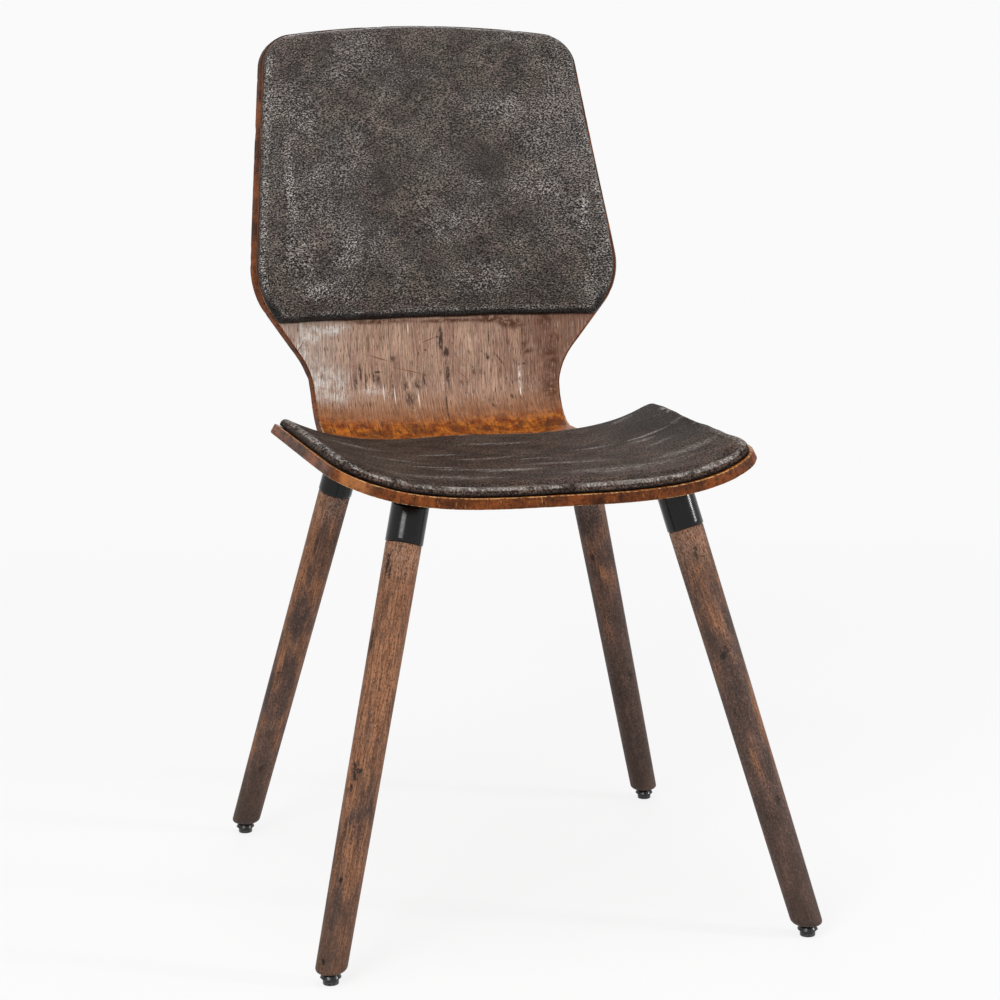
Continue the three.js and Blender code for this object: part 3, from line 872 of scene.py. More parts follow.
def spun(profile: Sequence[tuple[float, float]], sides: int) -> bmesh.types.BMesh:
    """Turns a profile of radius and height pairs round +Z. Pairs on the axis close the ends.

    Args:
        profile: Pairs of radius and height.
        sides: Number of flat sides.

    Returns:
        The turned shape.
    """
    bm = bmesh.new()
    verts = [bm.verts.new((radius, 0, height)) for radius, height in profile]
    edges = [bm.edges.new(pair) for pair in zip(verts, verts[1:])]
    bmesh.ops.spin(bm, geom=verts + edges, cent=(0, 0, 0), axis=(0, 0, 1), angle=2 * math.pi,
                   steps=sides, use_merge=True)
    bmesh.ops.remove_doubles(bm, verts=bm.verts, dist=1e-6)
    return bm


def only(items: Sequence[object], kind: type) -> list:
    """The items of one kind in the result of a bmesh operator."""
    return [item for item in items if isinstance(item, kind)]


def carried(mesh: bpy.types.Mesh, name: str, field: str = "value", width: int = 1) -> np.ndarray:
    """Values of an attribute that a mesh carries, one row for each point.

    Args:
        mesh: The mesh.
        name: Name of the attribute.
        field: What its values are called.
        width: Numbers in one value.

    Returns:
        The values.
    """
    values = np.zeros(len(mesh.vertices) * width)
    mesh.attributes[name].data.foreach_get(field, values)
    return values.reshape(-1, width) if width > 1 else values


def ripples(flat: np.ndarray, scale: float, level: float) -> np.ndarray:
    """Smooth noise at flat places, taken on one level of a solid noise."""
    return np.array([noise.noise(Vector((x * scale, v * scale, level))) for x, v in flat])


def register(piece: bpy.types.Object, slot: Slot, body: str, *nodes: str) -> None:
    """Rides a piece on its body and lets it stand for CAD nodes.

    Args:
        piece: The piece.
        slot: Its material slot; not used.
        body: Its body.
        nodes: The CAD nodes that it stands for.
    """
    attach(piece, body)
    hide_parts(*nodes)
    log.info("%s: %d faces", piece.name, len(piece.data.polygons))


# The shell and its pads


@dataclass
class Shell:
    """The moulded plywood sheet."""

    form: SheetForm
    outlines: Outlines
    corners: tuple[float, float] = (150 * MM, 130 * MM)
    columns: int = 84
    rows: int = 300
    arris: float = 1.0 * MM
    chip_depth: float = 0.9 * MM

    def profile(self) -> list[tuple[float, float]]:
        """Inset and height of each ring of the edge: two worn arrises and the wall between them.

        Returns:
            The pairs, from the upper face to the lower.
        """
        low = -self.form.thickness
        upper = quarter_round(self.arris, 0.0, (0.0, 0.35, 0.7, 1.0))
        wall = [(0.0, low * share) for share in (0.35, 0.65)]
        return upper + wall + [(inset, low - height) for inset, height in reversed(upper)]

    def worn(self, flat: np.ndarray, height: np.ndarray) -> np.ndarray:
        """How far the edge is worn in: small nicks, deeper at the arrises than on the wall.

        Args:
            flat: Flat places.
            height: Heights over the sheet.

        Returns:
            The depths.
        """
        nicks = np.array([noise.noise(Vector((x * 95, v * 95, h * 240)))
                          for (x, v), h in zip(flat, height)])
        near = np.minimum(-height, self.form.thickness + height) < self.arris * 1.2
        return self.chip_depth * np.clip(nicks - 0.22, 0, 1) * np.where(near, 1.6, 0.25)

    def build(self) -> bpy.types.Object:
        """Builds the sheet and dresses it.

        Returns:
            The sheet.
        """
        piece = Slab("plywood_sheet", self.form, self.outlines.shell(), self.corners, self.columns,
                     self.rows, self.profile(), self.worn).build()
        piece.data.materials.append(PlywoodFinish(self.form.thickness).build())
        register(piece, Slot.PLYWOOD, ROOT_BODY, "plywood_shell")
        return piece


@dataclass
class LeatherPad:
    """A thin pad under leather, glued down all over, its rim rolled under."""

    name: str
    node: str
    form: SheetForm
    half: np.ndarray
    corners: tuple[float, float]
    columns: int
    rows: int
    finish: LeatherFinish
    glue: float = 0.7 * MM
    thickness: float = 8.9 * MM
    roll: float = 5.2 * MM
    swell: float = 1.6 * MM
    pressed: float = 0.7 * MM
    uneven: float = 0.8 * MM
    crinkle: float = 1.6 * MM
    pressure: float = 4.0
    frames: int = 20

    def profile(self) -> list[tuple[float, float]]:
        """Inset and height of each ring of the rim, rolled from the top face down to the glue.

        Returns:
            The pairs, from the top face to the glue.
        """
        top = self.glue + self.thickness
        low = self.glue
        under = [(0.0, low + 1.6 * MM), (0.5 * MM, low + 0.5 * MM), (1.2 * MM, low)]
        return quarter_round(self.roll, top, [k / 5 for k in range(6)]) + under

    def wavy(self, flat: np.ndarray, height: np.ndarray) -> np.ndarray:
        """How far the rim is drawn in, a little more in some places than in others."""
        return 1.1 * MM * np.clip(0.35 + ripples(flat, 34, 3.7), 0, 1)

    def relief(self, flat: np.ndarray, height: np.ndarray, rim: np.ndarray) -> np.ndarray:
        """Hollows and swellings of the top: pressed in beside the rim, uneven, crinkled at one corner.

        Args:
            flat: Flat places.
            height: Heights over the sheet.
            rim: Distances from the outline.

        Returns:
            What each height is changed by.
        """
        top = smooth_step((height - self.glue - self.thickness * 0.6) / (self.thickness * 0.35))
        pressed = -self.pressed * np.exp(-((rim - 11 * MM) / (4.5 * MM)) ** 2)
        uneven = self.uneven * ripples(flat, 24, 8.1) * smooth_step(rim / (30 * MM))
        corner = (smooth_step((-150 * MM - flat[:, 0]) / (30 * MM))
                  * smooth_step((-200 * MM - flat[:, 1]) / (80 * MM)))
        crinkled = corner * np.exp(-((rim - 6 * MM) / (6 * MM)) ** 2) * ripples(flat, 150, 1.3)
        return top * (pressed + uneven + crinkled * self.crinkle)

    def inflate(self, piece: bpy.types.Object) -> None:
        """Swells the pad by cloth simulation, its glued underside held, and keeps each move short.

        Args:
            piece: The piece.
        """
        mesh = piece.data
        height = carried(mesh, "height")
        held = piece.vertex_groups.new(name="glued")
        held.add([int(i) for i in np.nonzero(height < self.glue + 2 * MM)[0]], 1.0, "REPLACE")
        rest = np.zeros(len(mesh.vertices) * 3)
        mesh.vertices.foreach_get("co", rest)
        cloth = piece.modifiers.new("cloth", "CLOTH")
        settings = cloth.settings
        settings.quality = 4
        settings.mass = 0.3
        settings.tension_stiffness = 12
        settings.compression_stiffness = 12
        settings.bending_stiffness = 4
        settings.use_pressure = True
        settings.uniform_pressure_force = self.pressure
        settings.vertex_group_mass = held.name
        settings.effector_weights.gravity = 0
        cloth.point_cache.frame_start, cloth.point_cache.frame_end = 1, self.frames
        scene = bpy.context.scene
        for frame_number in range(1, self.frames + 1):
            scene.frame_set(frame_number)
        swollen = piece.evaluated_get(bpy.context.evaluated_depsgraph_get()).data
        moved = np.zeros(len(mesh.vertices) * 3)
        swollen.vertices.foreach_get("co", moved)
        step = (moved - rest).reshape(-1, 3)
        length = np.linalg.norm(step, axis=1)
        kept = self.swell * np.tanh(length / self.swell) / np.maximum(length, 1e-9)
        piece.modifiers.remove(cloth)
        piece.vertex_groups.remove(held)
        mesh.vertices.foreach_set("co", rest + (step * kept[:, None]).ravel())
        scene.frame_set(1)
        log.info("%s: swelled by up to %.1f mm", self.name, float((length * kept).max()) / MM)

    def build(self) -> bpy.types.Object:
        """Builds the pad, swells it and dresses it.

        Returns:
            The pad.
        """
        piece = Slab(self.name, self.form, self.half, self.corners, self.columns, self.rows,
                     self.profile(), self.wavy, self.relief).build()
        self.inflate(piece)
        smooth = piece.modifiers.new("smooth", "SUBSURF")
        smooth.levels = smooth.render_levels = 1
        piece.data.materials.append(self.finish.build())
        register(piece, Slot.LEATHER, ROOT_BODY, self.node)
        return piece


# Legs, ferrules and levelling feet


@dataclass(frozen=True)
class Mark:
    """A dent in a leg: its height up the leg, its angle round from the front, its size and its depth.

    Lengths are in millimetres and the angle in degrees, counted towards the left-hand side.
    """

    along: float
    angle: float
    half_length: float
    half_width: float
    depth: float


MARKS: dict[Corner, tuple[Mark, ...]] = {
    Corner.FRONT_LEFT: (
        Mark(178, 36, 3, 5, 1.0), Mark(174, 50, 7, 2.6, 1.3), Mark(161, 56, 6, 2.4, 1.6),
        Mark(181, 55, 5, 2.4, 0.9), Mark(170, 40, 3, 2.6, 0.8), Mark(184, 46, 4, 3, 0.6),
        Mark(81, 32, 3, 2.4, 1.3), Mark(125, 48, 12, 2, 0.7), Mark(294, 74, 13, 2.6, 1.1),
        Mark(8, 46, 3, 3, 1.4), Mark(364, 58, 12, 2.4, 1.3), Mark(358, 44, 8, 2, 0.9),
        Mark(284, 92, 14, 2.6, 1.0), Mark(104, 60, 16, 3, 0.6)),
    Corner.FRONT_RIGHT: (
        Mark(262, 23, 4, 4, 1.5), Mark(268, 8, 6, 3, 0.8), Mark(361, 10, 10, 2, 0.8),
        Mark(120, -12, 5, 3, 0.8)),
    Corner.BACK_LEFT: (Mark(330, 30, 16, 2, 0.7), Mark(180, 40, 5, 3, 0.8), Mark(70, 10, 6, 3, 0.7)),
    Corner.BACK_RIGHT: (Mark(300, 40, 5, 3, 0.8), Mark(150, -20, 8, 3, 0.8)),
}
TONES: dict[Corner, float] = {Corner.FRONT_LEFT: 0.7, Corner.FRONT_RIGHT: 0.46, Corner.BACK_LEFT: 0.5,
                              Corner.BACK_RIGHT: 0.4}


@dataclass
class LegSet:
    """One leg with its ferrule and its levelling foot."""

    corner: Corner
    form: SheetForm
    shoulder_x: float = 134 * MM
    shoulder_y: float = 164.5 * MM
    foot_x: float = 225 * MM
    foot_y: float = 245 * MM
    shoulder_z: float = 376 * MM
    foot_height: float = 11 * MM
    top_radius: float = 16.5 * MM
    foot_radius: float = 14.2 * MM
    tenon_radius: float = 14.2 * MM
    tenon_length: float = 19.5 * MM
    spare: float = 20 * MM
    end_round: float = 5.0 * MM
    ferrule_radius: float = 17.3 * MM
    ferrule_wall: float = 2.8 * MM
    ferrule_length: float = 20 * MM
    bar_drop: float = 14.8 * MM
    foot_base: float = 7.2 * MM
    hex_radius: float = 9.75 * MM
    hex_facets: int = 12
    uneven: float = 0.25 * MM
    sides: int = 80
    rings: int = 230

    def __post_init__(self) -> None:
        """Works out the leg's axis."""
        x, y = self.corner.value
        base_y = self.form.base_y
        self.foot = Vector((x * self.foot_x, base_y + y * self.foot_y, self.foot_height))
        self.shoulder = Vector((x * self.shoulder_x, base_y + y * self.shoulder_y, self.shoulder_z))
        self.axis = (self.shoulder - self.foot).normalized()
        self.length = (self.shoulder - self.foot).length
        self.place = Matrix.Translation(self.shoulder) @ Vector((0, 0, 1)).rotation_difference(
            self.axis).to_matrix().to_4x4()
        self.number = list(Corner).index(self.corner)
        self.grain_shift = Vector((0.31, 0.17, 0.43)) * self.number

    def rise(self, point: Vector, offset: float) -> float:
        """Distance from a point up along the axis to the sheet's face at an offset.

        Args:
            point: Where the way starts.
            offset: Height over the upper face.

        Returns:
            The distance.
        """
        reach = 0.0
        for _ in range(12):
            here = point + self.axis * reach
            face = self.form.point(here.x, here.y - self.form.base_y - self.form.bend_start, offset)
            reach += (face.z - here.z) / self.axis.z
        return reach

    def build_leg(self, finish: bpy.types.Material) -> bpy.types.Object:
        """Turns the leg, cuts its foot level, rounds it and dents it.

        Args:
            finish: Its material.

        Returns:
            The leg.
        """
        low = -self.length - self.spare
        slope = (self.top_radius - self.foot_radius) / self.length
        side = [(self.top_radius + slope * low * k / self.rings, low * k / self.rings)
                for k in range(self.rings, 0, -1)]
        bevel, end = 1.5 * MM, self.tenon_length
        collar = [(self.top_radius, -0.6 * MM), (self.top_radius - 0.5 * MM, -0.02 * MM),
                  (self.tenon_radius, 0.0), (self.tenon_radius, end - bevel),
                  (self.tenon_radius - bevel, end), (0.0, end)]
        bm = spun([(0.0, low), *side, *collar], self.sides)
        local = bm.verts.layers.float_vector.new("grain")
        skin = bm.verts.layers.float_vector.new("skin")
        tone, dented = bm.verts.layers.float.new("tone"), bm.verts.layers.float.new("dented")
        for vert in bm.verts:
            vert[local] = vert.co + self.grain_shift
            arc = math.atan2(-vert.co.x, -vert.co.y) * self.foot_radius
            vert[skin] = (self.number + arc, vert.co.z + self.length, 0)
            vert[tone] = TONES[self.corner]
            vert[dented] = self.dent(vert)
        bmesh.ops.transform(bm, matrix=self.place, verts=bm.verts)
        cut = bmesh.ops.bisect_plane(bm, geom=bm.verts[:] + bm.edges[:] + bm.faces[:], dist=1e-6,
                                     plane_co=self.foot, plane_no=(0, 0, -1), clear_outer=True)
        bmesh.ops.holes_fill(bm, edges=only(cut["geom_cut"], bmesh.types.BMEdge), sides=0)
        self.round_end(bm)
        piece = finished(f"wood_leg_{self.corner.label}", bm)
        piece.data.materials.append(finish)
        register(piece, Slot.LEG_WOOD, ROOT_BODY, f"leg_{self.corner.label}")
        return piece

    def round_end(self, bm: bmesh.types.BMesh) -> None:
        """Rounds the rim of the level foot end: cuts rings near it and draws them in.

        Args:
            bm: The bmesh.
        """
        low = self.foot.z
        for step in range(1, 7):
            near = [vert for vert in bm.verts if vert.co.z < low + self.end_round * 2]
            edges = {edge for vert in near for edge in vert.link_edges}
            faces = {face for vert in near for face in vert.link_faces}
            height = self.end_round * (1 - math.cos(step / 6 * math.pi / 2))
            bmesh.ops.bisect_plane(bm, geom=[*near, *edges, *faces], dist=1e-6,
                                   plane_co=(0, 0, low + height), plane_no=(0, 0, 1))
        for vert in bm.verts:
            height = vert.co.z - low
            if height < self.end_round:
                middle = self.foot + self.axis * (height / self.axis.z)
                out = vert.co - middle
                drop = self.end_round - height
                inset = self.end_round - math.sqrt(max(self.end_round ** 2 - drop ** 2, 0))
                vert.co = middle + out * (1 - inset / out.length)

    def dent(self, vert: bmesh.types.BMVert) -> float:
        """Moves a vertex in where a mark lies, and by a hand-planed unevenness elsewhere.

        Args:
            vert: The vertex, still in the leg's own frame.

        Returns:
            How much of a mark's full depth the vertex was moved by, 0 to 1.
        """
        radius = math.hypot(vert.co.x, vert.co.y)
        if radius < self.tenon_radius - 2 * MM or vert.co.z > -0.3 * MM:
            return 0.0
        side = self.foot_x * self.corner.value[0]
        depth = self.uneven * noise.noise(Vector((vert.co.x * 22, vert.co.y * 22, vert.co.z * 9 + side)))
        angle = math.atan2(-vert.co.x, -vert.co.y)
        ragged = 0.5 * noise.noise(vert.co * 380)
        most = 0.0
        for mark in MARKS[self.corner]:
            round_way = ((angle - math.radians(mark.angle) + math.pi) % (2 * math.pi) - math.pi) * radius
            share = math.hypot((vert.co.z + self.length - mark.along * MM) / (mark.half_length * MM),
                               round_way / (mark.half_width * MM)) + ragged
            pressed = 1 - float(smooth_step((share - 0.5) / 0.5))
            depth += mark.depth * MM * pressed
            most = max(most, pressed * min(mark.depth, 1.0))
        vert.co.x *= 1 - depth / radius
        vert.co.y *= 1 - depth / radius
        return most

    def build_ferrule(self, finish: bpy.types.Material) -> bpy.types.Object:
        """Turns the steel tube and lets its top follow the bar under the seat.

        Args:
            finish: Its material.

        Returns:
            The ferrule.
        """
        gap, outer, length = 0.3 * MM, self.ferrule_radius, self.ferrule_length
        inner = outer - self.ferrule_wall
        base = gap + 0.9 * MM
        walls = [(outer, base + length * k / 12) for k in range(13)]
        bm = spun([(inner + 0.4 * MM, gap), (outer - 0.9 * MM, gap), (outer - 0.3 * MM, gap + 0.3 * MM),
                   *walls, (inner, base + length), (inner, gap + 0.4 * MM),
                   (inner + 0.4 * MM, gap)], self.sides)
        local = bm.verts.layers.float_vector.new("grain")
        bmesh.ops.transform(bm, matrix=self.place, verts=bm.verts)
        turn_back = self.place.inverted()
        for vert in bm.verts:
            own = turn_back @ vert.co
            if own.z > base - 1e-6:
                start = vert.co - self.axis * (own.z - base)
                reach = self.rise(start, -self.bar_drop) * (own.z - base) / length
                vert.co = start + self.axis * reach
                own = turn_back @ vert.co
            elif own.z < gap + 0.5 * MM:
                nick = max(noise.noise(Vector((own.x * 160, own.y * 160, self.number * 3.1))) - 0.25, 0)
                vert.co += self.axis * nick * 1.4 * MM
            vert[local] = own + self.grain_shift
        piece = finished(f"steel_ferrule_{self.corner.label}", bm)
        piece.data.materials.append(finish)
        register(piece, Slot.STEEL, ROOT_BODY, f"ferrule_{self.corner.label}")
        return piece

    def build_foot(self, finish: bpy.types.Material) -> bpy.types.Object:
        """Turns the round base and sets the hexagon ring on it.

        Args:
            finish: Its material.

        Returns:
            The foot.
        """
        top = self.foot_height - 0.3 * MM
        base_top = 4.3 * MM
        bm = spun([(0.0, 0.0), (self.foot_base - 1.0 * MM, 0.0), (self.foot_base - 0.3 * MM, 0.25 * MM),
                   (self.foot_base, 0.9 * MM), (self.foot_base, base_top)], self.sides // 2)
        edge = 6.6 * MM
        for low, high, height, lift in (
                (self.foot_base - 0.2 * MM, self.hex_radius, 2.6 * MM, edge - 1.3 * MM),
                (self.hex_radius, self.foot_base + 0.6 * MM, top - edge, (top + edge) / 2)):
            made = bmesh.ops.create_cone(bm, cap_ends=True, segments=self.hex_facets, radius1=low,
                                         radius2=high, depth=height)
            bmesh.ops.translate(bm, verts=made["verts"], vec=(0, 0, lift))
        bmesh.ops.remove_doubles(bm, verts=bm.verts, dist=1e-5)
        bmesh.ops.transform(bm, matrix=Matrix.Translation((self.foot.x, self.foot.y, 0)), verts=bm.verts)
        piece = finished(f"moulded_foot_{self.corner.label}", bm)
        rounding = piece.modifiers.new("rounding", "BEVEL")
        rounding.width = 0.35 * MM
        rounding.segments = 2
        piece.data.materials.append(finish)
        register(piece, Slot.PLASTIC, f"foot_{self.corner.label}", f"levelling_foot_{self.corner.label}")
        return piece


# Finishes


@dataclass(frozen=True)
class LeatherFinish:
    """Dark worn leather: pebbled, creased and mottled, with rubbed places, painted glints, a crest on the
    rolled rim both rubbed and painted as a highlight, and painted shade under the rim.
    """

    name: str
    dark: Triple
    light: Triple
    # Colour of rubbed wear, also used for the painted glints and the painted highlight of the crest.
    rubbed: Triple
    scuffs: tuple[Blot, ...]
    # Painted glints, laid in the rubbed colour.
    glints: tuple[Blot, ...]
    # Grime patches; on the seat, one also darkens the right wing as painted shade.
    soiled_and_shaded: tuple[Blot, ...]
    rough: tuple[Blot, ...]
    spread: float
    swept: bool
    # Strength of the crest's rubbed wear and painted highlight.
    crest: float
    gloss: float
    dull: float
    peaked: float
    cracked: float
    relief: float
    clouded: float
    # Place along the sheet below which the low edge gets painted shade, fading out 14 mm above it.
    low_end: float
    grain: Triple
    pebbles: float = 300.0
    # Colour of the grime, also of the painted shade on the seat's right wing.
    grime_and_shade: Triple = (46, 41, 37)

    def pebble_edges(self, board: NodeBoard, place: Socket) -> Socket:
        """Distance from the cracks between pebbles, which lean one way here and the other way there.

        Args:
            board: The node tree.
            place: Places across, along and over the sheet.

        Returns:
            The distances.
        """
        bent = board.node("ShaderNodeTexNoise", {"Vector": place, "Scale": 260.0, "Detail": 2.0})
        shift = board.node("ShaderNodeVectorMath", {0: bent.outputs["Color"], "Scale": 2.2 * MM},
                           operation="SCALE")
        moved = board.node("ShaderNodeVectorMath", {0: place, 1: shift.outputs[0]},
                           operation="ADD").outputs[0]
        size = (self.pebbles * 0.72, self.pebbles * 1.3, self.pebbles)
        rising, falling = (board.cells(board.slanted(moved, degrees, size), 1.0, "DISTANCE_TO_EDGE")
                           for degrees in (34, -32))
        return board.blend(board.band(board.noise(place, 15, 2), 0.46, 0.54), rising, falling)

    def build(self) -> bpy.types.Material:
        """Makes the material.

        Returns:
            The material.
        """
        board = NodeBoard(self.name, roughness=self.dull, specular=self.gloss)
        flat = board.node("ShaderNodeUVMap", uv_map="flat").outputs[0]
        x, v, _ = board.parts(flat)
        rim, height = board.attribute("rim"), board.attribute("height")
        place = board.joined(x, v, height)
        edges = self.pebble_edges(board, place)
        grain = board.streaks(place, self.grain, 1.5, 0.6)
        broken = board.band(board.noise(place, 70, 3, 0.6), 0.38, 0.6, 0.35, 1.0)
        cracks = board.times(board.band(edges, 0.13, 0.02), broken)
        mottle = board.noise(place, 34, 5, 0.72)
        cloud = board.noise(place, 9, 3, 0.55, 0.4)
        torn = board.streaks(place, (80, 190, 90) if self.swept else (90, 90, 90), 5, 0.78)
        scuffed = board.blots(flat, self.scuffs, board.band(torn, 0.42, 0.53))
        rough = board.blots(flat, self.rough)
        soiled_and_shaded = board.blots(flat, self.soiled_and_shaded, board.band(mottle, 0.36, 0.48))
        # The crest of the rolled rim: rubbed wear together with a painted highlight.
        crest = board.times(board.band(rim, 0.2 * MM, 1.2 * MM), board.band(rim, 11 * MM, 4 * MM),
                            board.band(height, 5.5 * MM, 7.5 * MM), board.band(v, 455 * MM, 430 * MM),
                            board.band(board.noise(place, 60, 4, 0.7), 0.34, 0.58),
                            board.math("SUBTRACT", 1.0, soiled_and_shaded), self.crest)
        colour = board.mix(board.band(grain, 0.5 - self.spread, 0.5 + self.spread), paint(*self.dark),
                           paint(*self.light))
        tint = board.mix(board.band(board.noise(place, 31, 3), 0.4, 0.6), (1.1, 1.0, 0.96, 1),
                         (1.02, 1.0, 0.92, 1))
        colour = board.mix(1.0, colour, tint, "MULTIPLY")
        shade = board.band(mottle, 0.36, 0.66, 0.6, 1.35)
        colour = board.shaded(colour, shade)
        # Pale marks in the rubbed colour on the pebble peaks: rubbed wear from the scuffs and clouds, and
        # painted highlights from the glints and the crest.
        glints = board.blots(flat, self.glints, board.band(torn, 0.36, 0.48))
        bare = board.union(board.times(scuffed, 0.62), glints, crest,
                           board.times(board.band(cloud, 0.46, 0.66), self.clouded))
        peaks = board.blend(self.peaked, 1.0, board.band(grain, 0.46, 0.64))
        # Grime, and painted shade over the seat's right wing.
        colour = board.coat(colour, soiled_and_shaded, *self.grime_and_shade, amount=0.75)
        colour = board.coat(colour, board.times(bare, peaks, 0.85), *self.rubbed)
        colour = board.coat(colour, board.times(cracks, self.cracked), 14, 13, 12)
        colour = board.coat(colour, board.times(rough, board.band(grain, 0.58, 0.46)), 10, 9, 9)
        # Painted shade: the underside of the rolled rim, near the glue, darkened.
        under = board.times(board.band(height, 5 * MM, 2 * MM), board.band(rim, 3 * MM, 1 * MM), 0.8)
        colour = board.coat(colour, under, 12, 11, 10)
        # Painted shade along the pad's low edge, where its rolled rim faces down.
        shaded = board.times(board.band(rim, 8 * MM, 3 * MM),
                             board.band(v, self.low_end + 14 * MM, self.low_end))
        colour = board.coat(colour, shaded, 12, 11, 10, amount=0.88)
        board.dress("Base Color", colour)
        board.dress("Roughness", board.blend(bare, self.dull, self.dull + 0.12))
        relief = board.total(board.times(grain, board.blend(rough, 0.45, 1.6)),
                             board.band(edges, 0.0, 0.35))
        folds = board.bump(board.noise(place, 55, 3, 0.6, 0.6), 1.6 * MM, 0.3)
        board.dress("Normal", board.bump(relief, 1.5 * MM, self.relief, folds))
        return board.material


@dataclass(frozen=True)
class PlywoodFinish:
    """Worn reddish veneer with its grain along the sheet: dusty above, orange towards the seat."""

    thickness: float
    plies: int = 7
    cracks: tuple[Blot, ...] = (
        Blot(8, 138, 3.4, 17, 0, 0.5), Blot(13, 123, 4.6, 9, 0, 0.6), Blot(10, 66, 1.3, 52, -2, 0.8),
        Blot(14, 100, 3.2, 22, 0, 0.9), Blot(-83, 104, 2.6, 14, 3, 0.7), Blot(-77, 94, 1.6, 15, 0, 0.7),
        Blot(-88, 92, 4.0, 10), Blot(-63, 104, 6.5, 1.6, 0, 0.6), Blot(-68, 97, 1.6, 8, 0, 0.6),
        Blot(-63, 96, 3.2, 8, 0, 0.8), Blot(-48, 86, 3.0, 16, 0, 0.9), Blot(-34, 88, 5, 12),
        Blot(-20, 88, 7, 12, 0, 0.9), Blot(-12, 94, 3, 12, 0, 0.8), Blot(-30, 74, 9, 14),
        Blot(-46, 118, 5, 5), Blot(61, 137, 1.2, 12, 0, 0.8), Blot(59, 116, 3.2, 4, 0, 0.7),
        Blot(72, 113, 1.3, 10, 32, 0.7), Blot(66, 119, 2, 3, 0, 0.8), Blot(79, 91, 1.6, 2, 0, 0.7),
        Blot(58, 68, 1.4, 8, 0, 0.8), Blot(83, 71, 3.0, 5, 20, 0.9), Blot(98, 107, 2, 2.2, 0, 0.6),
        Blot(61, 62, 1.6, 6, 25, 0.8), Blot(-10, 126, 1.8, 1.8, 0, 0.5), Blot(4, 140, 2.4, 1.8, 0, 0.6))
    # Stains; the last two, long and thin along the back pad's lower edge, are painted shadow under the
    # pad's rim.
    stains: tuple[Blot, ...] = (
        Blot(84, 153, 26, 10, -12, 0.7), Blot(60, 158, 26, 8, 0, 0.7), Blot(122, 153, 10, 14, 0, 0.9),
        Blot(99, 132, 5, 24, 0, 0.9), Blot(103, 121, 10, 4, 14, 0.8), Blot(131, 134, 8, 8, 0, 0.8),
        Blot(128, 112, 15, 34), Blot(126, 76, 16, 36, 0, 0.9), Blot(117, 20, 24, 18, 0, 0.8),
        Blot(40, 27, 18, 9, 0, 0.9), Blot(-76, 20, 30, 18, 0, 0.9), Blot(-30, 30, 24, 22),
        Blot(-140, 14, 26, 26), Blot(14, 30, 10, 16), Blot(84, 30, 12, 12),
        Blot(-60, 158, 60, 4, 0, 0.8), Blot(20, 157, 60, 3.5, 0, 0.8))
    # Whitish wear together with a painted reflection, mostly on the upper left of the waist.
    white_wear_and_reflection: tuple[Blot, ...] = (
        Blot(-136, 146, 14, 12, 0, 0.5), Blot(-112, 151, 26, 9, 6, 0.8), Blot(-148, 128, 12, 26),
        Blot(-134, 98, 38, 34), Blot(-112, 96, 24, 22), Blot(-146, 146, 3.5, 18, 6, 0.6),
        Blot(-118, 76, 34, 14), Blot(93, 94, 3, 26, 0, 0.9), Blot(-70, 84, 20, 8))
    scratches: tuple[Blot, ...] = (
        Blot(-62, 119, 17, 0.9, -18, 0.8), Blot(-5, 137, 13, 0.8, 20, 0.8),
        Blot(-28, 104, 26, 0.7, -14, 0.9), Blot(-150, 132, 15, 0.9, 56, 0.8),
        Blot(30, 98, 15, 0.6, -40, 0.9))
    pale_lines: tuple[Blot, ...] = (
        Blot(93, 77, 0.9, 8, 0, 0.7), Blot(93, 96, 1.3, 4, 0, 0.7), Blot(-58, 82, 0.8, 16, 0, 0.9),
        Blot(-46, 78, 0.8, 14, 0, 0.9), Blot(-20, 73, 0.8, 14, 0, 0.9), Blot(-28, 150, 1.0, 9, 0, 0.9))

    def face(self, board: NodeBoard, place: Socket,
             flat: Socket) -> Socket:
        """Colour of the veneer on the upper face.

        Args:
            board: The node tree.
            place: Places across, along and over the sheet.
            flat: Flat coordinates.

        Returns:
            The colour.
        """
        x, v, _ = board.parts(flat)
        lines = board.streaks(place, (780, 26, 300))
        broad = board.streaks(place, (60, 11, 60), 4, 0.6, 0.4)
        mottle = board.noise(place, 60, 4, 0.7)
        tan = board.mix(board.band(broad, 0.34, 0.66), paint(152, 119, 102), paint(176, 145, 124))
        tan = board.coat(tan, board.band(x, 55 * MM, 130 * MM, 0.0, 0.75), 118, 82, 66)
        # Lighter towards the left: painted light on the waist.
        tan = board.coat(tan, board.band(x, -70 * MM, -140 * MM, 0.0, 0.55), 176, 160, 148)
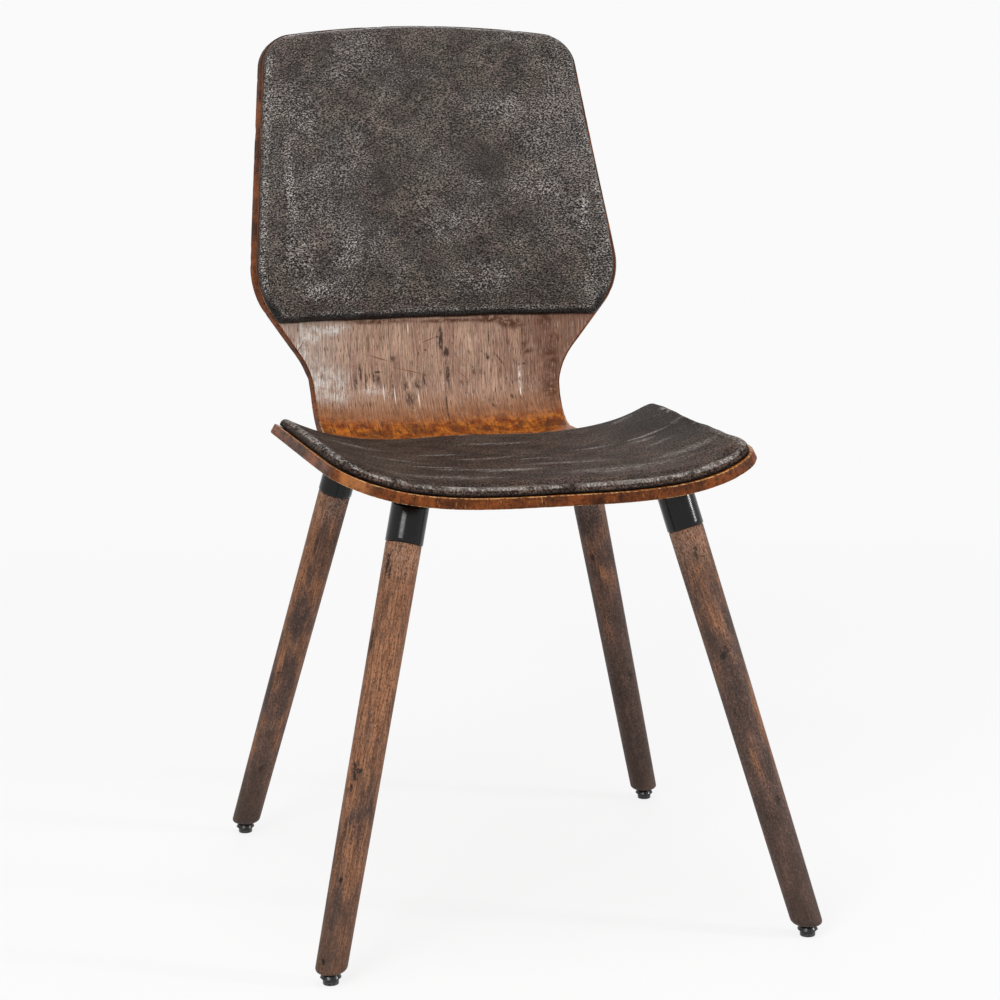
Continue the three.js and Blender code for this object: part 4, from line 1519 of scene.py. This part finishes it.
        # White blots: whitish wear together with a painted reflection, mostly on the upper left of the
        # waist.
        ragged = board.band(board.noise(place, 110, 4, 0.75), 0.36, 0.6)
        white = board.blots(flat, self.white_wear_and_reflection, ragged)
        tan = board.coat(tan, white, 216, 210, 204, amount=0.85)
        edge = board.total(v, board.times(board.total(mottle, -0.5), 26 * MM))
        orange = board.mix(board.band(mottle, 0.4, 0.6), paint(118, 56, 16), paint(176, 102, 32))
        smoked = board.streaks(place, (210, 60, 200), 4, 0.75)
        orange = board.coat(orange, board.band(smoked, 0.46, 0.64, 0.0, 0.85), 74, 36, 16)
        warm = board.mix(board.band(edge, 88 * MM, 54 * MM), tan, paint(134, 92, 64))
        colour = board.mix(board.band(edge, 60 * MM, 34 * MM), warm, orange)
        upper = board.band(edge, 34 * MM, 84 * MM)
        shade = board.band(lines, 0.34, 0.66, board.blend(upper, 0.8, 0.55),
                           board.blend(upper, 1.12, 1.3))
        colour = board.shaded(colour, shade)
        pores = board.streaks(place, (1150, 95, 300), 2, 0.6)
        colour = board.coat(colour, board.band(pores, 0.56, 0.66, 0.0, 0.85), 66, 42, 33)
        pale = board.streaks(place, (1250, 70, 300), 2, 0.6)
        flecked = board.times(board.band(pale, 0.6, 0.7, 0.0, 0.55), upper)
        colour = board.coat(colour, flecked, 222, 204, 190)
        # Stains, and painted shadow along the back pad's lower edge.
        stained = board.blots(flat, self.stains, board.band(board.noise(place, 130, 4, 0.75), 0.36, 0.56))
        colour = board.coat(colour, stained, 74, 42, 24, amount=0.9)
        torn = board.band(board.streaks(place, (420, 150, 300), 4, 0.75), 0.38, 0.52)
        cracked = board.blots(flat, self.cracks, torn)
        dots = board.band(board.cells(place, 120), 0.13, 0.07)
        cracked = board.union(cracked, board.times(dots, board.band(mottle, 0.5, 0.6)))
        colour = board.coat(colour, cracked, 46, 32, 28, amount=0.9)
        colour = board.coat(colour, board.blots(flat, self.scratches), 118, 66, 36, amount=0.9)
        colour = board.coat(colour, board.blots(flat, self.pale_lines), 226, 214, 202)
        return board.coat(colour, board.band(v, 175 * MM, 205 * MM, 0.0, 0.8), 92, 48, 24)

    def wall(self, board: NodeBoard, place: Socket) -> Socket:
        """Colour of the cut edge: dark orange, streaked from face to face over faint plies.

        Args:
            board: The node tree.
            place: Places across, along and over the sheet.

        Returns:
            The colour.
        """
        height = board.attribute("height")
        streaks = board.streaks(place, (330, 330, 40), 4, 0.75)
        zones = board.noise(place, 22, 4, 0.65)
        colour = board.mix(board.band(zones, 0.36, 0.62), paint(58, 27, 11), paint(126, 66, 27))
        spots = board.band(board.noise(place, 230, 5, 0.8), 0.48, 0.62, 0.0, 0.85)
        colour = board.coat(colour, spots, 38, 20, 12)
        shade = board.band(streaks, 0.34, 0.66, 0.74, 1.16)
        colour = board.shaded(colour, shade)
        flecks = board.streaks(place, (600, 600, 90), 3, 0.7)
        colour = board.coat(colour, board.band(flecks, 0.62, 0.72, 0.0, 0.5), 200, 150, 92)
        wave = board.times(height, 2 * math.pi * self.plies / self.thickness)
        plies = board.node("ShaderNodeMath", {0: wave}, operation="SINE").outputs[0]
        colour = board.coat(colour, board.band(plies, 0.55, 1.0, 0.0, 0.35), 60, 30, 14)
        across, along, _ = board.parts(place)
        glare = board.blots(board.joined(across, along, 0), (Blot(-178, -398, 26, 22, 40, 0.6),),
                            board.band(board.noise(place, 120, 4, 0.75), 0.36, 0.56, 0.1, 0.5))
        colour = board.coat(colour, glare, 198, 128, 74)
        return board.coat(colour, board.band(along, 400 * MM, 450 * MM), 34, 24, 18, amount=0.9)

    def build(self) -> bpy.types.Material:
        """Makes the material.

        Returns:
            The material.
        """
        board = NodeBoard("worn_plywood", roughness=0.46, specular=0.12)
        flat = board.node("ShaderNodeUVMap", uv_map="flat").outputs[0]
        x, v, _ = board.parts(flat)
        height, rim = board.attribute("height"), board.attribute("rim")
        place = board.joined(x, v, height)
        back_lines = board.streaks(place, (420, 12, 200), 5, 0.65)
        back_zones = board.streaks(place, (16, 6, 16), 4, 0.6, 0.6)
        back = board.mix(board.band(back_lines, 0.34, 0.66), paint(112, 68, 46), paint(160, 108, 78))
        back = board.coat(back, board.band(back_zones, 0.44, 0.66, 0.0, 0.7), 92, 60, 46)
        faded = board.band(board.noise(place, 75, 4, 0.75), 0.6, 0.74, 0.0, 0.6)
        back = board.coat(back, faded, 178, 148, 126)
        behind = board.band(height, -4 * MM, -6 * MM)
        colour = board.mix(behind, self.face(board, place, flat), back)
        cut = board.band(rim, 1.5 * MM, 1.05 * MM)
        colour = board.mix(cut, colour, self.wall(board, place))
        bare = board.times(board.band(rim, 0.02 * MM, 0.3 * MM), board.band(rim, 2.1 * MM, 1.2 * MM),
                           board.band(board.noise(place, 330, 3, 0.7), 0.44, 0.56),
                           board.band(v, 60 * MM, 20 * MM))
        colour = board.coat(colour, bare, 214, 172, 118, amount=0.75)
        board.dress("Base Color", colour)
        veins = board.streaks(place, (900, 40, 500))
        board.dress("Roughness", board.band(veins, 0.3, 0.7, 0.4, 0.62))
        cracked = board.blots(flat, self.cracks + self.scratches)
        relief = board.total(veins, board.times(board.total(behind, -1.0), cracked, 0.9),
                             board.times(board.noise(place, 24, 3), 0.8))
        board.dress("Normal", board.bump(relief, 0.5 * MM, 0.6))
        return board.material


@dataclass(frozen=True)
class LegFinish:
    """Worn leg wood: dark grey-brown, rubbed orange in places, its grain along the leg."""

    rubbed: tuple[Blot, ...] = (
        Blot(1, 280, 6, 24, 0, 0.7), Blot(987, 326, 8, 44, 0, 0.9), Blot(988, 190, 8, 80),
        Blot(2019, 300, 14, 110, 0, 0.7), Blot(2012, 190, 9, 70), Blot(3003, 282, 4, 18, 0, 0.8),
        Blot(2020, 90, 8, 40), Blot(1022, 90, 6, 26, 0, 0.8), Blot(16, 84, 4, 40, 0, 0.9))
    stains: tuple[Blot, ...] = (
        Blot(12, 172, 8, 9, 0, 0.6), Blot(17, 158, 4, 7, 0, 0.7), Blot(18, 296, 6, 16, 0, 0.8),
        Blot(22, 340, 6, 34, 0, 0.9), Blot(16, 366, 5, 16, 0, 0.7), Blot(20, 104, 8, 30, 0, 0.9),
        Blot(1005, 262, 7, 6, 0, 0.6), Blot(1012, 290, 9, 70, 0, 0.9),
        Blot(1012, 160, 9, 70, 0, 0.9), Blot(1006, 352, 12, 34), Blot(2004, 314, 14, 44, 0, 0.8),
        Blot(11, 318, 8, 12),
        Blot(8, 30, 20, 34), Blot(1008, 34, 26, 50), Blot(2004, 40, 14, 44))

    def build(self) -> bpy.types.Material:
        """Makes the material.

        Returns:
            The material.
        """
        board = NodeBoard("worn_leg_wood", roughness=0.48, specular=0.18)
        grain = board.attribute_vector("grain")
        skin = board.attribute_vector("skin")
        tone = board.attribute("tone")
        dented = board.attribute("dented")
        along = board.parts(skin)[1]
        lines = board.streaks(grain, (560, 560, 46))
        broad = board.streaks(grain, (44, 44, 15), 4, 0.65, 0.3)
        pores = board.streaks(grain, (760, 760, 420), 3, 0.8)
        grey = board.mix(board.band(broad, 0.36, 0.64), paint(68, 52, 46), paint(98, 75, 66))
        orange = board.mix(board.band(lines, 0.34, 0.66), paint(112, 72, 49), paint(150, 104, 74))
        warmth = board.total(broad, board.total(tone, -0.55),
                             board.times(board.blots(skin, self.rubbed), 0.26),
                             board.times(board.total(along, -0.23), 0.55))
        colour = board.mix(board.band(warmth, 0.36, 0.68), grey, orange)
        shade = board.band(lines, 0.34, 0.66, 0.82, 1.14)
        colour = board.shaded(colour, shade)
        colour = board.coat(colour, board.band(pores, 0.52, 0.62, 0.0, 0.8), 40, 28, 23)
        colour = board.coat(colour, board.band(pores, 0.44, 0.34, 0.0, 0.32), 168, 136, 114)
        torn = board.band(board.streaks(grain, (260, 260, 110), 4, 0.75), 0.4, 0.58)
        blots = board.streaks(grain, (95, 95, 40))
        stained = board.union(board.times(board.blots(skin, self.stains, torn), 0.7),
                              board.times(board.band(blots, 0.52, 0.66), 0.6))
        bleached = board.times(board.band(along, 340 * MM, 374 * MM), board.band(pores, 0.56, 0.38), 0.45)
        colour = board.coat(colour, bleached, 164, 142, 128)
        height = board.total(along, board.times(broad, 110 * MM))
        low = board.times(board.band(height, 190 * MM, 70 * MM), 0.55)
        colour = board.coat(colour, board.union(board.times(stained, 0.75), low), 62, 48, 41)
        colour = board.coat(colour, board.times(dented, board.band(pores, 0.35, 0.45)), 30, 24, 21)
        board.dress("Base Color", colour)
        board.dress("Roughness", board.band(pores, 0.3, 0.7, 0.44, 0.64))
        relief = board.total(lines, board.times(pores, -0.9), board.times(blots, 0.6))
        board.dress("Normal", board.bump(relief, 0.7 * MM, 0.7))
        return board.material


@dataclass(frozen=True)
class SteelFinish:
    """Semi-gloss black steel, dusty and scuffed."""

    def build(self) -> bpy.types.Material:
        """Makes the material.

        Returns:
            The material.
        """
        board = NodeBoard("black_steel_finish", roughness=0.25, specular=0.3)
        place = board.place()
        dust = board.noise(place, 150, 5, 0.75)
        scuffs = board.streaks(place, (140, 140, 420), 4, 0.75)
        colour = board.mix(board.band(dust, 0.52, 0.74), paint(2, 2, 2), paint(18, 18, 17))
        colour = board.coat(colour, board.band(scuffs, 0.66, 0.76, 0.0, 0.7), 104, 102, 98)
        board.dress("Base Color", colour)
        board.dress("Roughness", board.band(dust, 0.42, 0.72, 0.16, 0.3))
        board.dress("Normal", board.bump(board.total(dust, scuffs), 0.15 * MM, 0.2))
        return board.material


@dataclass(frozen=True)
class ZincFinish:
    """Dull zinc plating, clouded and lightly rusted."""

    def build(self) -> bpy.types.Material:
        """Makes the material.

        Returns:
            The material.
        """
        board = NodeBoard("zinc_finish", roughness=0.4, metallic=1.0)
        place = board.place()
        cloud = board.noise(place, 160, 4, 0.65)
        colour = board.mix(board.band(cloud, 0.35, 0.65), paint(138, 140, 142), paint(190, 191, 190))
        rust = board.band(board.noise(place, 90, 5, 0.7), 0.6, 0.72, 0.0, 0.7)
        board.dress("Base Color", board.coat(colour, rust, 118, 82, 58))
        board.dress("Roughness", board.band(cloud, 0.35, 0.65, 0.32, 0.55))
        return board.material


@dataclass(frozen=True)
class PlasticFinish:
    """Glossy black moulded plastic, dusty and scraped where it meets the floor."""

    def build(self) -> bpy.types.Material:
        """Makes the material.

        Returns:
            The material.
        """
        board = NodeBoard("black_plastic_finish", roughness=0.2, specular=0.4)
        place = board.place()
        _, _, z = board.parts(place)
        dust = board.noise(place, 420, 4, 0.7)
        low = board.times(board.band(z, 5 * MM, 1 * MM), board.band(dust, 0.36, 0.6))
        colour = board.mix(board.band(dust, 0.5, 0.75), paint(10, 10, 11), paint(40, 40, 40))
        board.dress("Base Color", board.coat(colour, low, 88, 86, 84, amount=0.6))
        board.dress("Roughness", board.band(dust, 0.35, 0.65, 0.14, 0.4))
        board.dress("Normal", board.bump(dust, 0.12 * MM, 0.5))
        return board.material


SEAT_LEATHER = LeatherFinish(
    "worn_seat_leather", dark=(34, 26, 23), light=(88, 74, 67), rubbed=(192, 183, 177), spread=0.12,
    swept=True, crest=1.0, gloss=0.05, dull=0.7, peaked=0.65, cracked=0.3, relief=0.7, clouded=0.05,
    low_end=-1.0, grain=(520, 260, 420), pebbles=340.0, grime_and_shade=(31, 26, 23),
    scuffs=(Blot(188, -206, 14, 8, 30, 0.9), Blot(150, -262, 24, 9, 12, 0.9),
            Blot(140, -232, 22, 9, 8, 0.8),
            Blot(88, -222, 34, 8, 6, 0.7), Blot(100, -75, 30, 8, 10, 0.7), Blot(-62, -213, 36, 6, 0, 0.7),
            Blot(-118, -262, 34, 6, -20, 0.7), Blot(-20, -244, 50, 7, 4, 0.7), Blot(75, -360, 90, 24),
            Blot(40, -300, 60, 10, 0, 0.8), Blot(-60, -320, 50, 8, -8, 0.8), Blot(-90, -372, 90, 18),
            Blot(150, -330, 50, 18, 10, 0.9), Blot(10, -140, 60, 12, 0, 0.9),
            Blot(-140, -180, 40, 12, -20, 0.9),
            Blot(158, -110, 26, 10, 20, 1.0)),
    glints=(Blot(20, -262, 22, 3, 2, 0.8), Blot(-20, -330, 44, 12, 4), Blot(-90, -300, 34, 4, -12, 0.9),
            Blot(150, -215, 34, 5, 8, 0.9)),
    # The last blot darkens the right wing: painted shade.
    soiled_and_shaded=(Blot(-150, -110, 50, 40), Blot(150, -90, 50, 40), Blot(186, -170, 74, 190, 0, 0.6)),
    rough=(Blot(-194, -300, 9, 90), Blot(-186, -380, 15, 34, 24, 1.0)))
BACK_LEATHER = LeatherFinish(
    "worn_back_leather", dark=(25, 21, 19), light=(106, 97, 92), rubbed=(214, 210, 206), spread=0.085,
    swept=False, crest=0.8, gloss=0.22, dull=0.4, peaked=1.0, cracked=0.7, relief=0.9, clouded=0.35,
    low_end=0.176, grain=(480, 700, 540),
    scuffs=(Blot(-80, 244, 54, 40), Blot(-106, 192, 50, 30), Blot(176, 190, 30, 36),
            Blot(183, 222, 26, 44), Blot(-109, 308, 56, 30, 30, 1.0), Blot(52, 200, 70, 30),
            Blot(30, 262, 70, 30, 18, 1.0), Blot(88, 383, 60, 34), Blot(-139, 372, 40, 60),
            Blot(-150, 230, 30, 70), Blot(120, 300, 50, 40)),
    glints=(Blot(-92, 238, 20, 14), Blot(-99, 220, 26, 12, 10, 1.0), Blot(168, 272, 12, 22),
            Blot(167, 250, 14, 14), Blot(-130, 190, 34, 16), Blot(-120, 315, 26, 16, 30, 1.0),
            Blot(-155, 300, 10, 90)),
    soiled_and_shaded=(Blot(-101, 341, 26, 44), Blot(-94, 287, 30, 34), Blot(-68, 254, 26, 30, 20, 1.0),
            Blot(-47, 303, 22, 30), Blot(60, 320, 40, 60, 20, 1.0), Blot(-20, 420, 60, 24)),
    rough=(Blot(173, 433, 30, 30), Blot(150, 440, 26, 18)))


# The studio


@dataclass
class Studio:
    """Floor, lamps, world and the camera that sees the chair as the photograph does."""

    base_y: float
    azimuth: float = math.radians(-14.58)
    elevation: float = math.radians(8.76)
    roll: float = math.radians(-0.75)
    distance: float = 2385.7 * MM
    aim_x: float = -1.13 * MM
    aim_z: float = 385.3 * MM
    lens: float = 87.77
    backdrop: float = 0.955
    floor_colour: float = 0.9
    ambient: float = 0.36
    lamps: tuple[tuple[str, Triple, float, float], ...] = (
        ("key_lamp", (-1.9, -2.4, 2.2), 66.0, 1.4), ("fill_lamp", (2.5, -1.5, 1.4), 38.0, 0.35),
        ("top_lamp", (-0.2, -0.3, 3.0), 30.0, 1.6), ("back_lamp", (0.8, 2.9, 1.7), 22.0, 1.6))

    def build_camera(self) -> None:
        """Sets up the camera."""
        back = Vector((math.sin(self.azimuth) * math.cos(self.elevation),
                       -math.cos(self.azimuth) * math.cos(self.elevation), math.sin(self.elevation)))
        level = Vector((math.cos(self.azimuth), math.sin(self.azimuth), 0))
        upright = back.cross(level)
        right = level * math.cos(self.roll) + upright * math.sin(self.roll)
        up = upright * math.cos(self.roll) - level * math.sin(self.roll)
        data = bpy.data.cameras.new("camera")
        data.lens, data.sensor_width, data.sensor_fit = self.lens, 36.0, "HORIZONTAL"
        camera = bpy.data.objects.new("camera", data)
        bpy.context.scene.collection.objects.link(camera)
        place = Vector((self.aim_x, self.base_y, self.aim_z)) + back * self.distance
        camera.matrix_world = Matrix.Translation(place) @ Matrix((right, up, back)).transposed().to_4x4()
        bpy.context.scene.camera = camera

    def build_floor(self) -> None:
        """Lays a plain pale floor that keeps the chair's soft shadow."""
        bm = bmesh.new()
        bmesh.ops.create_grid(bm, x_segments=1, y_segments=1, size=12.0)
        floor = finished("studio_floor", bm)
        board = NodeBoard("pale_floor", roughness=0.9, specular=0.0)
        board.dress("Base Color", (*[self.floor_colour] * 3, 1.0))
        away = board.node("ShaderNodeVectorMath", {0: board.place()}, operation="LENGTH").outputs["Value"]
        seen = board.node("ShaderNodeEmission", {"Color": (*[self.backdrop] * 3, 1.0)})
        path = board.node("ShaderNodeLightPath")
        share = board.times(board.union(path.outputs["Is Camera Ray"], path.outputs["Is Glossy Ray"]),
                            board.band(away, 0.9, 2.4, 0.86, 1.0))
        blend = board.node("ShaderNodeMixShader", {
            0: share, 1: board.shader.outputs["BSDF"], 2: seen.outputs[0]})
        board.feed(board.output.inputs["Surface"], blend.outputs[0])
        floor.data.materials.append(board.material)

    def build_world(self) -> None:
        """Lights the chair evenly from all round, and shows a white background behind it."""
        world = bpy.data.worlds.new("studio_world")
        bpy.context.scene.world = world
        tree = NodeTree(world)
        path = tree.node("ShaderNodeLightPath")
        rays = ("Is Camera Ray", "Is Transmission Ray", "Is Glossy Ray")
        seen = tree.union(*(path.outputs[ray] for ray in rays))
        soft = tree.node("ShaderNodeBackground", {"Color": (1, 1, 1, 1), "Strength": self.ambient})
        shown = tree.node("ShaderNodeBackground", {"Color": (*[self.backdrop] * 3, 1.0)})
        blend = tree.node("ShaderNodeMixShader", {0: seen, 1: soft.outputs[0], 2: shown.outputs[0]})
        tree.node("ShaderNodeOutputWorld", {"Surface": blend.outputs[0]})

    def build_lamp(self, name: str, place: Triple, watts: float, size: float) -> None:
        """Sets up one square lamp aimed at the middle of the chair.

        Args:
            name: Its name.
            place: Where it stands.
            watts: Its power.
            size: Length of its side.
        """
        data = bpy.data.lights.new(name, "AREA")
        data.energy, data.size = watts, size
        lamp = bpy.data.objects.new(name, data)
        bpy.context.scene.collection.objects.link(lamp)
        lamp.location = place
        aim = Vector((0, self.base_y, 0.42)) - Vector(place)
        lamp.rotation_euler = aim.to_track_quat("-Z", "Y").to_euler()

    def build(self) -> None:
        """Builds the whole studio."""
        self.build_camera()
        self.build_floor()
        self.build_world()
        for name, place, watts, size in self.lamps:
            self.build_lamp(name, place, watts, size)
        bpy.context.scene.view_settings.view_transform = "Standard"


def dress_hidden(nodes: dict[str, bpy.types.Object], steel: bpy.types.Material,
                 zinc: bpy.types.Material) -> None:
    """Gives the fittings under the seat and in the legs their finishes.

    Args:
        nodes: The CAD nodes by name.
        steel: Finish of the bars.
        zinc: Finish of the rest.
    """
    for name, node in nodes.items():
        if "cross_bar" in name:
            finish = steel
        elif name.startswith(("bar_screw", "tee_nut", "leg_stud", "foot_stem", "foot_insert")):
            finish = zinc
        else:
            continue
        node.data.materials.clear()
        node.data.materials.append(finish)


def main() -> None:
    """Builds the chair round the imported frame."""
    logging.basicConfig(level=logging.INFO, format="%(message)s")
    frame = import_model()
    feet = [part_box(f"levelling_foot_{corner.label}") for corner in Corner]
    base_y = sum(low.y + high.y for low, high in feet) / 8
    form = SheetForm(base_y)
    outlines = Outlines()
    Shell(form, outlines).build()
    LeatherPad("leather_seat_pad", "seat_pad", form, outlines.seat_pad(), (150 * MM, 190 * MM), 90, 84,
               SEAT_LEATHER).build()
    LeatherPad("leather_back_pad", "back_pad", form, outlines.back_pad(), (173 * MM, 135 * MM), 90, 76,
               BACK_LEATHER).build()
    wood, steel, plastic = LegFinish().build(), SteelFinish().build(), PlasticFinish().build()
    for corner in Corner:
        leg = LegSet(corner, form)
        leg.build_leg(wood)
        leg.build_ferrule(steel)
        leg.build_foot(plastic)
    dress_hidden(frame["nodes"], steel, ZincFinish().build())
    Studio(base_y).build()


if __name__ == "__main__":
    main()
